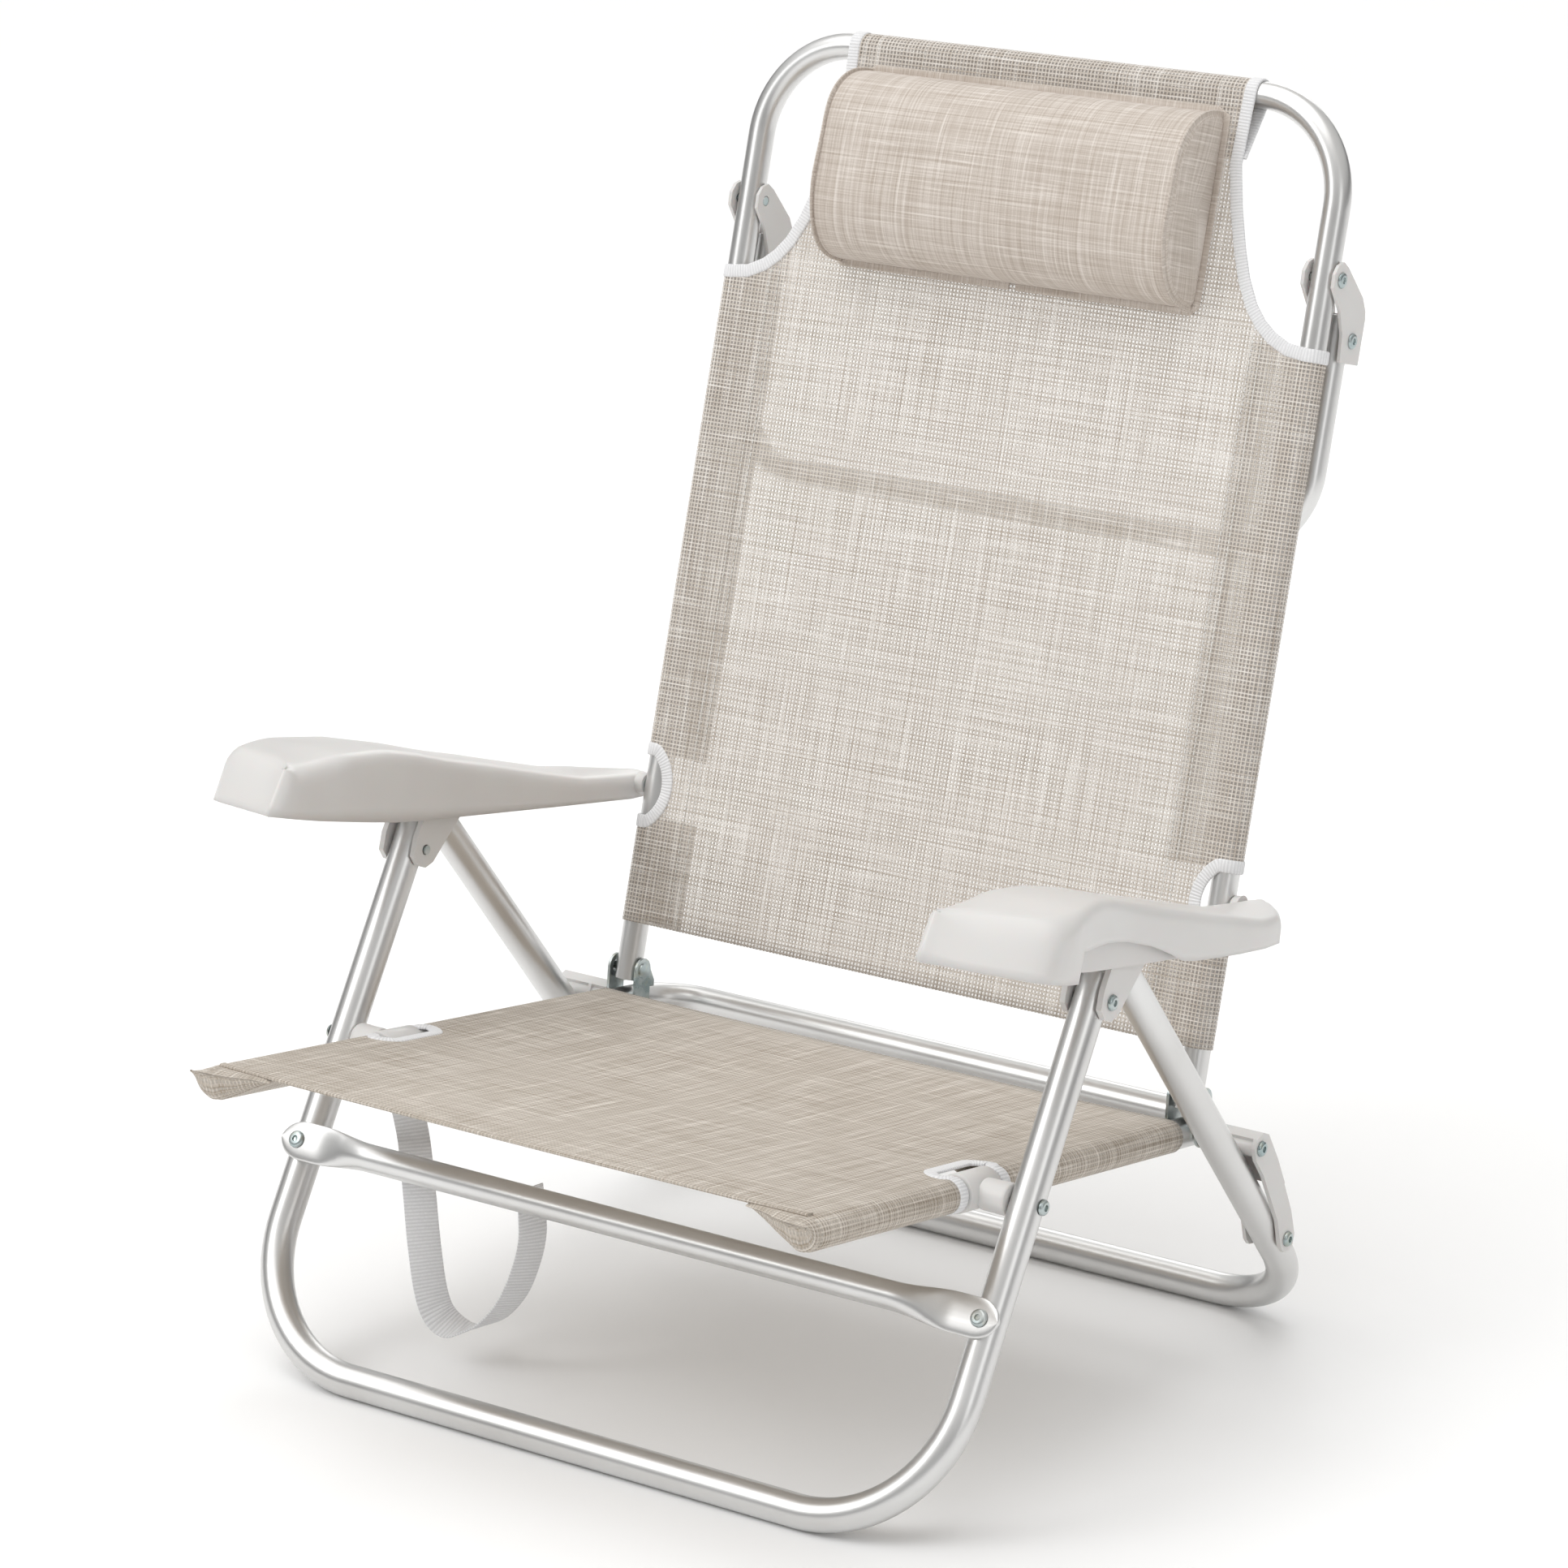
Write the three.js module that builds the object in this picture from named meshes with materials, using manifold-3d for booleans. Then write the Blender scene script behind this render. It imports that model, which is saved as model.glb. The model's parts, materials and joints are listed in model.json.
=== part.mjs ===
// Folding low beach chair with a reclining back, armrests, a rear prop frame and a head pillow.
// Millimetres. X is the sitter's left-to-right as seen from the front, the chair faces -Y, Z is up.
// Left-hand parts sit at negative X. Every hinge axis runs along X.
import * as THREE from 'three';
import { mergeVertices } from 'three/addons/utils/BufferGeometryUtils.js';
import Module from 'manifold-3d';

const wasm = await Module();
wasm.setup();

// ---------------------------------------------------------------- driving dimensions
const SIDES = [['left', -1], ['right', 1]];
const CLEARANCE = 0.3;
const TUBE_FACETS = 16;
const BEND_STEPS = 6;

const LEG_R = 11;
const LEG_WALL = 1.3;
const LEG_X = 270;
const LEG_BEND = 92;
const FRONT_FLOOR_Y = -246;
const FRONT_ANGLE = 58.7;
const FRONT_TOP_PAST_PIVOT = 16;
const REAR_FLOOR_Y = 219.6;
const REAR_ANGLE = 51.3;
const REAR_TOP = 398;
const REAR_BEND = 76;

const SEAT_R = 10;
const SEAT_X = 228.2;
const SEAT_WALL = 1.2;
const SEAT_BEND = 38;
const SEAT_FRONT_Y = -296;
const SEAT_REAR_Y = 171;
const BACK_R = 9;
const BACK_X = 228.2;
const BACK_WALL = 1.1;
const BACK_ANGLE = 74.15;
const BACK_LENGTH = 651.8;
const BACK_BEND = 67;
const BACK_FOOT = 8;

// Side-view pivots, as [y, z].
const LEG_PIVOT = [-63, 312];
const SEAT_PIVOT = [-132, 198];
const LINK_LOW = [160.3, 85];
const LINK_HIGH = [124, 159];
const BACK_HINGE = [126.4, 182];

const BAR_R = 9.3;
const BAR_ALONG_LEG = 142;
const BAR_OFFSET = 15;
const BAR_PLATE_OFFSET = 13.1;
const BAR_FLAT_HALF = 1.7;
const BAR_FLAT_HEIGHT = 13;

const SCREW_R = 3;
const HOLE_R = 3.5;
const HEAD_R = 5.2;
const HEAD_H = 2.4;
const RIVET_R = 2.6;
const RIVET_HOLE_R = 3.1;
const RIVET_HEAD_R = 4.6;
const RIVET_HEAD_H = 1.4;
const BACK_RIVET_R = 4.5;
const BACK_RIVET_HOLE_R = 5;
const BACK_RIVET_HEAD_R = 8.2;

const CLOTH = 0.9;
const SLEEVE_GAP = 0.4;
const HEM_WIDTH = 38;
const SEAT_CLOTH_FRONT = -308;
const SEAT_CLOTH_REAR = 103;
const BACK_CLOTH_FOOT = 33;
const SHOULDER = 492;
const NECK_HALF = 158;
const ARM_PIVOT_ALONG = 128.4;
const ARM_NOTCH_R = 27;

const ARM_SLOPE = 9.37;
const ARM_INNER = 243;
const ARM_WALL = 3;
const ARM_PIN_R = 4.6;

const STAND_PIVOT_ALONG = 539.5;
const STAND_OFFSET = 26.3;
const STAND_TOP = 518;
const STAND_FOOT = 358.8;
const STAND_BEND = 56;

const ALUMINIUM = 0xc9c8c6;
const ZINC = 0xa9b3b0;
const PLASTIC = 0xe9e7e4;
const FABRIC = 0xcfc5b8;
const WEBBING = 0xf0f0f0;

// ---------------------------------------------------------------- side-plane helpers
const radians = (degrees) => degrees * Math.PI / 180;
const aim = (degrees) => [Math.cos(radians(degrees)), Math.sin(radians(degrees))];
const FRONT_UP = aim(FRONT_ANGLE);
const REAR_UP = aim(180 - REAR_ANGLE);
const BACK_UP = aim(BACK_ANGLE);
const SEAT_BACKWARD = unit([LINK_HIGH[0] - SEAT_PIVOT[0], LINK_HIGH[1] - SEAT_PIVOT[1]]);
const FRONT_FLOOR = [FRONT_FLOOR_Y, LEG_R];
const REAR_FLOOR = [REAR_FLOOR_Y, LEG_R];

function unit(v) {
  const length = Math.hypot(v[0], v[1]);
  return [v[0] / length, v[1] / length];
}

// Point reached from a side-view start by going along one direction and then along its left normal.
function go(start, along, distance, sideways = 0) {
  return [
    start[0] + along[0] * distance - along[1] * sideways,
    start[1] + along[1] * distance + along[0] * sideways,
  ];
}

const at = (x, [y, z]) => new THREE.Vector3(x, y, z);

// Point of the seat plane at a given Y, `above` measured square to the seat.
function seatPoint(y, above = 0) {
  return go(SEAT_PIVOT, SEAT_BACKWARD, (y - SEAT_PIVOT[0]) / SEAT_BACKWARD[0], above);
}

// Point of the back plane, `front` measured square to it towards the sitter.
const backPoint = (along, front = 0) => go(BACK_HINGE, BACK_UP, along, front);
const ARM_PIVOT = backPoint(ARM_PIVOT_ALONG);
const STAND_PIVOT = backPoint(STAND_PIVOT_ALONG);

// Matrix whose columns are X, a side-view direction, and the normal on the sitter's side.
function planeFrame(origin, along) {
  const basis = new THREE.Matrix4().makeBasis(
    new THREE.Vector3(1, 0, 0),
    new THREE.Vector3(0, along[0], along[1]),
    new THREE.Vector3(0, -along[1], along[0]),
  );
  return basis.setPosition(0, origin[0], origin[1]);
}

// ---------------------------------------------------------------- solid helpers
function toSolid(geometry) {
  const bare = geometry.clone();
  bare.deleteAttribute('normal');
  bare.deleteAttribute('uv');
  const merged = mergeVertices(bare, 1e-4);
  return new wasm.Manifold(new wasm.Mesh({
    numProp: 3,
    vertProperties: new Float32Array(merged.attributes.position.array),
    triVerts: new Uint32Array(merged.index.array),
  }));
}

function toGeometry(solid) {
  const data = solid.getMesh();
  const geometry = new THREE.BufferGeometry();
  geometry.setAttribute('position', new THREE.BufferAttribute(new Float32Array(data.vertProperties), 3));
  geometry.setIndex(new THREE.BufferAttribute(new Uint32Array(data.triVerts), 1));
  geometry.computeVertexNormals();
  return geometry;
}

const join = (...parts) => toGeometry(wasm.Manifold.union(parts.map(toSolid)));
const common = (a, b) => toGeometry(wasm.Manifold.intersection([toSolid(a), toSolid(b)]));
const cut = (body, ...tools) => toGeometry(wasm.Manifold.difference([body, ...tools].map(toSolid)));

// Closed outline, always run anticlockwise.
function loop(points) {
  const vectors = points.map(([x, y]) => new THREE.Vector2(x, y));
  return THREE.ShapeUtils.isClockWise(vectors) ? vectors.reverse() : vectors;
}

function polygon(points, hole = null) {
  const shape = new THREE.Shape(loop(points));
  if (hole) shape.holes.push(new THREE.Path(loop(hole)));
  return shape;
}

function slab(shape, depth) {
  return new THREE.ExtrudeGeometry(shape, { depth, bevelEnabled: false, curveSegments: 10 });
}

// Side-view outline [y, z] thickened along X.
function sideSlab(outline, x0, x1) {
  const geometry = slab(polygon(outline), x1 - x0);
  const basis = new THREE.Matrix4().makeBasis(
    new THREE.Vector3(0, 1, 0),
    new THREE.Vector3(0, 0, 1),
    new THREE.Vector3(1, 0, 0),
  );
  return geometry.applyMatrix4(basis.setPosition(x0, 0, 0));
}

// Same slab on the right side (side = 1) or mirrored to the left (side = -1).
function sidedSlab(outline, side, x0, x1) {
  return side > 0 ? sideSlab(outline, x0, x1) : sideSlab(outline, -x1, -x0);
}

// Round bar along X, centred on a side-view point.
function crossPin(centre, radius, xA, xB, facets = 16) {
  const from = Math.min(xA, xB);
  const to = Math.max(xA, xB);
  const geometry = new THREE.CylinderGeometry(radius, radius, to - from, facets);
  geometry.rotateZ(Math.PI / 2);
  return geometry.translate((from + to) / 2, centre[0], centre[1]);
}

// Round bar from one point to another.
function rod(from, to, radius, facets = 16) {
  const span = new THREE.Vector3().subVectors(to, from);
  const geometry = new THREE.CylinderGeometry(radius, radius, span.length(), facets);
  const turn = new THREE.Quaternion().setFromUnitVectors(
    new THREE.Vector3(0, 1, 0),
    span.clone().normalize(),
  );
  geometry.applyQuaternion(turn);
  const middle = new THREE.Vector3().addVectors(from, to).multiplyScalar(0.5);
  return geometry.translate(middle.x, middle.y, middle.z);
}

// Outline of a strap with round ends about a chain of side-view points.
function roundedStrap(a, b, radiusA, radiusB, steps = 8) {
  const heading = Math.atan2(b[1] - a[1], b[0] - a[0]);
  const outline = [];
  for (const [centre, radius, start] of [[b, radiusB, -90], [a, radiusA, 90]]) {
    for (let i = 0; i <= steps; i += 1) {
      const angle = heading + radians(start + 180 * i / steps);
      outline.push([centre[0] + radius * Math.cos(angle), centre[1] + radius * Math.sin(angle)]);
    }
  }
  return outline;
}

// ---------------------------------------------------------------- bent tubes
// Path through corner points with rounded corners: one station per straight end, several per bend.
class BentPath extends THREE.Curve {
  constructor(corners, bendRadius) {
    super();
    this.stations = [];
    this.tangents = [];
    this.push(corners[0], new THREE.Vector3().subVectors(corners[1], corners[0]).normalize());
    for (let i = 1; i < corners.length - 1; i += 1) {
      this.bend(corners[i - 1], corners[i], corners[i + 1], bendRadius);
    }
    const last = corners.length - 1;
    this.push(corners[last], new THREE.Vector3().subVectors(corners[last], corners[last - 1]).normalize());
  }

  push(point, tangent) {
    this.stations.push(point.clone());
    this.tangents.push(tangent.clone());
  }

  bend(before, corner, after, radius) {
    const inward = new THREE.Vector3().subVectors(corner, before).normalize();
    const outward = new THREE.Vector3().subVectors(after, corner).normalize();
    const turn = inward.angleTo(outward);
    const start = corner.clone().addScaledVector(inward, -radius * Math.tan(turn / 2));
    const axis = new THREE.Vector3().crossVectors(inward, outward).normalize();
    const centre = start.clone().addScaledVector(new THREE.Vector3().crossVectors(axis, inward), radius);
    for (let i = 0; i <= BEND_STEPS; i += 1) {
      const turned = new THREE.Quaternion().setFromAxisAngle(axis, turn * i / BEND_STEPS);
      const point = start.clone().sub(centre).applyQuaternion(turned).add(centre);
      this.push(point, inward.clone().applyQuaternion(turned));
    }
  }

  get steps() {
    return this.stations.length - 1;
  }

  pick(list, t) {
    const place = Math.min(Math.max(t, 0), 1) * this.steps;
    const index = Math.min(Math.floor(place + 1e-9), this.steps - 1);
    return list[index].clone().lerp(list[index + 1], place - index);
  }

  getPoint(t, target = new THREE.Vector3()) {
    return target.copy(this.pick(this.stations, t));
  }

  getTangent(t, target = new THREE.Vector3()) {
    return target.copy(this.pick(this.tangents, t).normalize());
  }

  getUtoTmapping(u) {
    return u;
  }
}

function circlePoints(radius) {
  const points = [];
  for (let i = 0; i < TUBE_FACETS; i += 1) {
    const angle = 2 * Math.PI * i / TUBE_FACETS;
    points.push(new THREE.Vector2(radius * Math.cos(angle), radius * Math.sin(angle)));
  }
  return points;
}

// Hollow round tube bent through the corner points, open at both ends.
function bentTube(corners, bendRadius, radius, wall) {
  const ring = new THREE.Shape(circlePoints(radius));
  ring.holes.push(new THREE.Path(circlePoints(radius - wall)));
  const path = new BentPath(corners, bendRadius);
  return new THREE.ExtrudeGeometry(ring, {
    steps: path.steps,
    bevelEnabled: false,
    extrudePath: path,
  });
}

// U-shaped frame: two side tubes at +-x from `open` to `closed`, joined by a cross tube at `closed`.
function uFrame(x, open, closed, bendRadius, radius, wall) {
  return bentTube([at(-x, open), at(-x, closed), at(x, closed), at(x, open)], bendRadius, radius, wall);
}

// ---------------------------------------------------------------- fasteners
// Screw along X: round head outside, shank inwards. `headX` is where the head's underside sits.
function crossScrew(centre, side, headX, tipX, headHeight = HEAD_H) {
  const head = crossPin(centre, HEAD_R, side * headX, side * (headX + headHeight), 14);
  const shank = crossPin(centre, SCREW_R, side * tipX, side * (headX + headHeight / 2), 10);
  return join(head, shank);
}

// Rivet across the seat tube's plane, along X, with a low head at both ends.
function crossRivet(centre, side, reach, radius, headRadius) {
  const innerX = SEAT_X - reach;
  const outerX = SEAT_X + reach;
  const shank = crossPin(centre, radius, side * innerX, side * outerX, 16);
  const inner = crossPin(centre, headRadius, side * innerX, side * (innerX - RIVET_HEAD_H), 16);
  const outer = crossPin(centre, headRadius, side * outerX, side * (outerX + RIVET_HEAD_H), 16);
  return join(shank, inner, outer);
}

const throughHole = (centre, radius, xA, xB) => crossPin(centre, radius, xA, xB, 12);

// ---------------------------------------------------------------- legs
const FRONT_TOP = go(LEG_PIVOT, FRONT_UP, FRONT_TOP_PAST_PIVOT);

function barBolt(side, radius, from, to, facets) {
  const start = go(FRONT_FLOOR, FRONT_UP, BAR_ALONG_LEG, from);
  const end = go(FRONT_FLOOR, FRONT_UP, BAR_ALONG_LEG, to);
  return rod(at(side * LEG_X, start), at(side * LEG_X, end), radius, facets);
}

function frontLegFrame() {
  const frame = uFrame(LEG_X, FRONT_TOP, FRONT_FLOOR, LEG_BEND, LEG_R, LEG_WALL);
  const holes = [];
  for (const [, side] of SIDES) {
    const inner = side * (LEG_X - 2 * LEG_R);
    const outer = side * (LEG_X + 2 * LEG_R);
    holes.push(throughHole(LEG_PIVOT, HOLE_R, inner, outer));
    holes.push(throughHole(SEAT_PIVOT, HOLE_R, inner, outer));
    holes.push(barBolt(side, HOLE_R, 4, 2 * LEG_R, 12));
  }
  return cut(frame, ...holes);
}

// Cross bar: round in the middle, pressed flat at both ends where it is screwed to the legs.
function frontCrossbar() {
  const stations = [
    [0, BAR_R, BAR_R, BAR_OFFSET],
    [214, BAR_R, BAR_R, BAR_OFFSET],
    [226, 10, 7.6, 14.6],
    [236, 11.4, 4.6, 13.9],
    [246, 12.6, 2.5, 13.3],
    [256, BAR_FLAT_HEIGHT, BAR_FLAT_HALF, BAR_PLATE_OFFSET],
    [273, BAR_FLAT_HEIGHT, BAR_FLAT_HALF, BAR_PLATE_OFFSET],
    [279, 11, BAR_FLAT_HALF, BAR_PLATE_OFFSET],
    [283, 7, BAR_FLAT_HALF, BAR_PLATE_OFFSET],
  ];
  const leftStations = stations.slice(1).reverse().map(([x, ...rest]) => [-x, ...rest]);
  const rings = [...leftStations, ...stations].map(([x, tall, deep, offset]) => {
    const centre = go(FRONT_FLOOR, FRONT_UP, BAR_ALONG_LEG, offset);
    return [x, centre, tall, deep];
  });
  const wall = 1.2;
  const slit = 0.35;
  const outside = rings.map((ring) => ovalRing(...ring));
  const inside = rings.map(([x, centre, tall, deep]) => (
    ovalRing(x, centre, tall - wall, Math.max(deep - wall, slit))
  ));
  const holes = SIDES.map(([, side]) => barBolt(side, HOLE_R, 8, 18, 12));
  return cut(sleeveLoft(outside, inside), ...holes);
}

function ovalRing(x, centre, tall, deep) {
  const ring = [];
  for (let i = 0; i < TUBE_FACETS; i += 1) {
    const angle = 2 * Math.PI * i / TUBE_FACETS;
    ring.push(at(x, go(centre, FRONT_UP, tall * Math.cos(angle), deep * Math.sin(angle))));
  }
  return ring;
}

// Closed tube skin between matching outer and inner rings that run towards +X.
function sleeveLoft(outside, inside) {
  const positions = [];
  const index = [];
  const count = outside[0].length;
  for (const ring of [...outside, ...inside]) {
    for (const p of ring) positions.push(p.x, p.y, p.z);
  }
  const spot = (ring, i) => ring * count + (i % count);
  const quad = (a, b, c, d) => index.push(a, b, c, a, c, d);
  const rings = outside.length;
  for (let r = 0; r < rings - 1; r += 1) {
    for (let i = 0; i < count; i += 1) {
      quad(spot(r, i), spot(r, i + 1), spot(r + 1, i + 1), spot(r + 1, i));
      quad(spot(rings + r, i), spot(rings + r + 1, i), spot(rings + r + 1, i + 1), spot(rings + r, i + 1));
    }
  }
  for (let i = 0; i < count; i += 1) {
    quad(spot(0, i), spot(rings, i), spot(rings, i + 1), spot(0, i + 1));
    quad(spot(rings - 1, i), spot(rings - 1, i + 1), spot(2 * rings - 1, i + 1), spot(2 * rings - 1, i));
  }
  return surface(positions, index);
}

function surface(positions, index) {
  const geometry = new THREE.BufferGeometry();
  geometry.setAttribute('position', new THREE.Float32BufferAttribute(positions, 3));
  geometry.setIndex(index);
  geometry.computeVertexNormals();
  return geometry;
}

function crossbarScrew(side) {
  const face = BAR_PLATE_OFFSET + BAR_FLAT_HALF + CLEARANCE;
  const head = barBolt(side, HEAD_R + 0.6, face, face + HEAD_H, 14);
  return join(head, barBolt(side, SCREW_R, LEG_R - 5, face + HEAD_H / 2, 10));
}

function rearLegFrame() {
  const top = go(REAR_FLOOR, REAR_UP, REAR_TOP);
  const frame = uFrame(LEG_X, top, REAR_FLOOR, REAR_BEND, LEG_R, LEG_WALL);
  const holes = SIDES.map(([, side]) => throughHole(
    LINK_LOW,
    HOLE_R,
    side * (LEG_X - 2 * LEG_R),
    side * (LEG_X + 2 * LEG_R),
  ));
  return cut(frame, ...holes);
}

// Plastic fork plugged into the rear leg's top end, its two cheeks reaching down past the front leg.
function legClevis(side) {
  const top = go(REAR_FLOOR, REAR_UP, REAR_TOP);
  const cheekIn = LEG_X - LEG_R - CLEARANCE;
  const cheekOut = LEG_X + LEG_R + CLEARANCE;
  const cheek = 4;
  const arch = [
    go(top, REAR_UP, 1, 11.5),
    go(top, REAR_UP, 1, -12.5),
    go(top, REAR_UP, 16, -12.5),
    go(top, REAR_UP, 24, -6),
    go(top, REAR_UP, 27, 3),
    go(LEG_PIVOT, FRONT_UP, 26, 12),
    go(LEG_PIVOT, FRONT_UP, 4, 12.5),
    go(LEG_PIVOT, FRONT_UP, -8, 9.5),
    go(LEG_PIVOT, FRONT_UP, -12, 2),
    go(LEG_PIVOT, FRONT_UP, -11, -6),
    go(LEG_PIVOT, FRONT_UP, -5, -12),
  ];
  const bridge = [
    go(top, REAR_UP, 1, 11),
    go(top, REAR_UP, 1, -12.5),
    go(top, REAR_UP, 16, -12.5),
    go(top, REAR_UP, 24, -6),
    go(top, REAR_UP, 27, 3),
    go(top, REAR_UP, 21, 6.5),
    go(top, REAR_UP, 8, 9),
  ];
  const plug = rod(
    at(side * LEG_X, go(top, REAR_UP, 3)),
    at(side * LEG_X, go(top, REAR_UP, -24)),
    LEG_R - LEG_WALL - 0.6,
    16,
  );
  const parts = [
    sidedSlab(arch, side, cheekIn - cheek, cheekIn),
    sidedSlab(arch, side, cheekOut, cheekOut + cheek),
    sidedSlab(bridge, side, cheekIn - cheek, cheekOut + cheek),
    plug,
  ];
  return cut(join(...parts), throughHole(LEG_PIVOT, HOLE_R, side * (cheekIn - 9), side * (cheekOut + 9)));
}

const clevisScrew = (side) => crossScrew(
  LEG_PIVOT,
  side,
  LEG_X + LEG_R + CLEARANCE + 4 + CLEARANCE,
  LEG_X - LEG_R - CLEARANCE - 5.5,
);

// ---------------------------------------------------------------- seat
function seatFrame() {
  const front = seatPoint(SEAT_FRONT_Y);
  const rear = seatPoint(SEAT_REAR_Y);
  const frame = uFrame(SEAT_X, front, rear, SEAT_BEND, SEAT_R, SEAT_WALL);
  const holes = [];
  for (const [, side] of SIDES) {
    const inner = side * (SEAT_X - 2 * SEAT_R);
    const outer = side * (SEAT_X + 2 * SEAT_R);
    holes.push(throughHole(SEAT_PIVOT, HOLE_R, inner, outer));
    holes.push(throughHole(LINK_HIGH, RIVET_HOLE_R, inner, outer));
  }
  return cut(frame, ...holes);
}

function seatTubeCap(side) {
  const mouth = seatPoint(SEAT_FRONT_Y);
  const lid = rod(
    at(side * SEAT_X, go(mouth, SEAT_BACKWARD, -CLEARANCE)),
    at(side * SEAT_X, go(mouth, SEAT_BACKWARD, -3)),
    SEAT_R - 0.4,
    18,
  );
  const plug = rod(
    at(side * SEAT_X, go(mouth, SEAT_BACKWARD, -2)),
    at(side * SEAT_X, go(mouth, SEAT_BACKWARD, 14)),
    SEAT_R - SEAT_WALL - 0.6,
    16,
  );
  return join(lid, plug);
}

// Plastic saddle round the seat tube with a boss that spaces it from the front leg.
function seatPivotSpacer(side) {
  const half = 17;
  const collar = rod(
    at(side * SEAT_X, go(SEAT_PIVOT, SEAT_BACKWARD, -half)),
    at(side * SEAT_X, go(SEAT_PIVOT, SEAT_BACKWARD, half)),
    SEAT_R + 2.6,
    20,
  );
  const boss = crossPin(SEAT_PIVOT, 10.6, side * SEAT_X, side * (LEG_X - LEG_R - CLEARANCE), 20);
  const bore = rod(
    at(side * SEAT_X, go(SEAT_PIVOT, SEAT_BACKWARD, -half - 2)),
    at(side * SEAT_X, go(SEAT_PIVOT, SEAT_BACKWARD, half + 2)),
    SEAT_R + 0.5,
    20,
  );
  const hole = throughHole(SEAT_PIVOT, HOLE_R, side * (SEAT_X - 20), side * (LEG_X + 5));
  return cut(join(collar, boss), bore, hole);
}

const seatPivotBolt = (side) => crossScrew(
  SEAT_PIVOT,
  side,
  LEG_X + LEG_R + CLEARANCE,
  SEAT_X - SEAT_R + 1,
);

// Zinc hinge joining the back's foot to the seat tube: two cheeks and a narrow web behind them,
// clear of the arc that the foot of the upright turns through.
const BRACKET_GAP = SEAT_R + CLEARANCE;
const BRACKET_SHEET = 2;
const BRACKET_REACH = BRACKET_GAP + BRACKET_SHEET + 0.1;

function hingeBracket(side) {
  const rise = unit([BACK_HINGE[0] - LINK_HIGH[0], BACK_HINGE[1] - LINK_HIGH[1]]);
  const inner = SEAT_X - BRACKET_GAP;
  const outer = SEAT_X + BRACKET_GAP;
  const cheek = roundedStrap(LINK_HIGH, BACK_HINGE, 8.6, 8.6);
  const web = [
    go(LINK_HIGH, rise, 11.6, -9.8),
    go(LINK_HIGH, rise, 10, -13.4),
    go(LINK_HIGH, rise, 14.6, -13.4),
    go(LINK_HIGH, rise, 14.6, -9.8),
  ];
  const ear = [
    go(LINK_HIGH, rise, 11, -4),
    go(LINK_HIGH, rise, 10, -13.4),
    go(LINK_HIGH, rise, 14.6, -13.4),
    go(LINK_HIGH, rise, 24, -8),
    go(LINK_HIGH, rise, 24, -4),
  ];
  const body = join(
    sidedSlab(cheek, side, inner - BRACKET_SHEET, inner),
    sidedSlab(cheek, side, outer, outer + BRACKET_SHEET),
    sidedSlab(ear, side, inner - BRACKET_SHEET, inner),
    sidedSlab(ear, side, outer, outer + BRACKET_SHEET),
    sidedSlab(web, side, inner - BRACKET_SHEET, outer + BRACKET_SHEET),
  );
  const span = [side * (inner - 9), side * (outer + 9)];
  const low = throughHole(LINK_HIGH, RIVET_HOLE_R, ...span);
  const high = throughHole(BACK_HINGE, BACK_RIVET_HOLE_R, ...span);
  return cut(body, low, high);
}

// Rivets of the bracket: the low one holds the seat tube, the stout high one is the back's pivot.
const lowRivet = (side) => crossRivet(LINK_HIGH, side, BRACKET_REACH, RIVET_R, RIVET_HEAD_R);
const highRivet = (side) => crossRivet(BACK_HINGE, side, BRACKET_REACH, BACK_RIVET_R, BACK_RIVET_HEAD_R);

// ---------------------------------------------------------------- rear link
const LINK_IN = 243.2;
const LINK_OUT = 284.6;

// Channel-shaped plastic link nested behind the rear leg, screwed to it low down and to the seat high up.
function rearLink(side) {
  const up = unit([LINK_HIGH[0] - LINK_LOW[0], LINK_HIGH[1] - LINK_LOW[1]]);
  const along = (distance, behind) => go(LINK_LOW, up, distance, -behind);
  const length = Math.hypot(LINK_HIGH[0] - LINK_LOW[0], LINK_HIGH[1] - LINK_LOW[1]);
  const cheek = [
    along(-9, -3),
    along(-9, 4),
    along(-4, 9),
    along(14, 12.5),
    along(length - 22, 14),
    along(length + 2, 12),
    along(length + 8, 7),
    along(length + 9, -1),
    along(length + 5, -6),
    along(length - 4, -8),
    along(length - 20, -5),
    along(20, -4),
    along(0, -8.5),
    along(-6, -7),
  ];
  const spine = [
    along(38, 11),
    along(38, 14),
    along(length - 22, 14),
    along(length + 2, 12),
    along(length + 8, 7),
    along(length + 9, -1),
    along(length + 6, -1),
    along(length + 5, 5.5),
    along(length + 0.5, 9.4),
    along(length - 22, 11.2),
  ];
  const body = join(
    sidedSlab(cheek, side, LEG_X + LEG_R + 0.6, LINK_OUT),
    sidedSlab(cheek, side, LEG_X - LEG_R - 3.2, LEG_X - LEG_R - 0.6),
    sidedSlab(spine, side, LINK_IN, LINK_OUT),
    crossPin(LINK_HIGH, 6.4, side * LINK_IN, side * LINK_OUT, 18),
  );
  const low = throughHole(LINK_LOW, HOLE_R, side * LINK_IN, side * (LINK_OUT + 5));
  const high = throughHole(LINK_HIGH, HOLE_R, side * (LINK_IN - 5), side * (LINK_OUT + 5));
  return cut(body, low, high);
}

const linkHighScrew = (side) => crossScrew(LINK_HIGH, side, LINK_OUT + CLEARANCE, LINK_IN + 1);
const linkLowScrew = (side) => crossScrew(LINK_LOW, side, LINK_OUT + CLEARANCE, LEG_X - LEG_R - 3);

// ---------------------------------------------------------------- sling fabric
// Hem loop round a tube: [x, normal] outline of the loop and of the tunnel inside it.
function hemLoop(tubeX, radius) {
  const side = Math.sign(tubeX);
  const tunnel = teardrop(tubeX, side, radius, HEM_WIDTH);
  const skin = teardrop(tubeX, side, radius + CLOTH, HEM_WIDTH + 6);
  return polygon(skin, tunnel);
}

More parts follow.
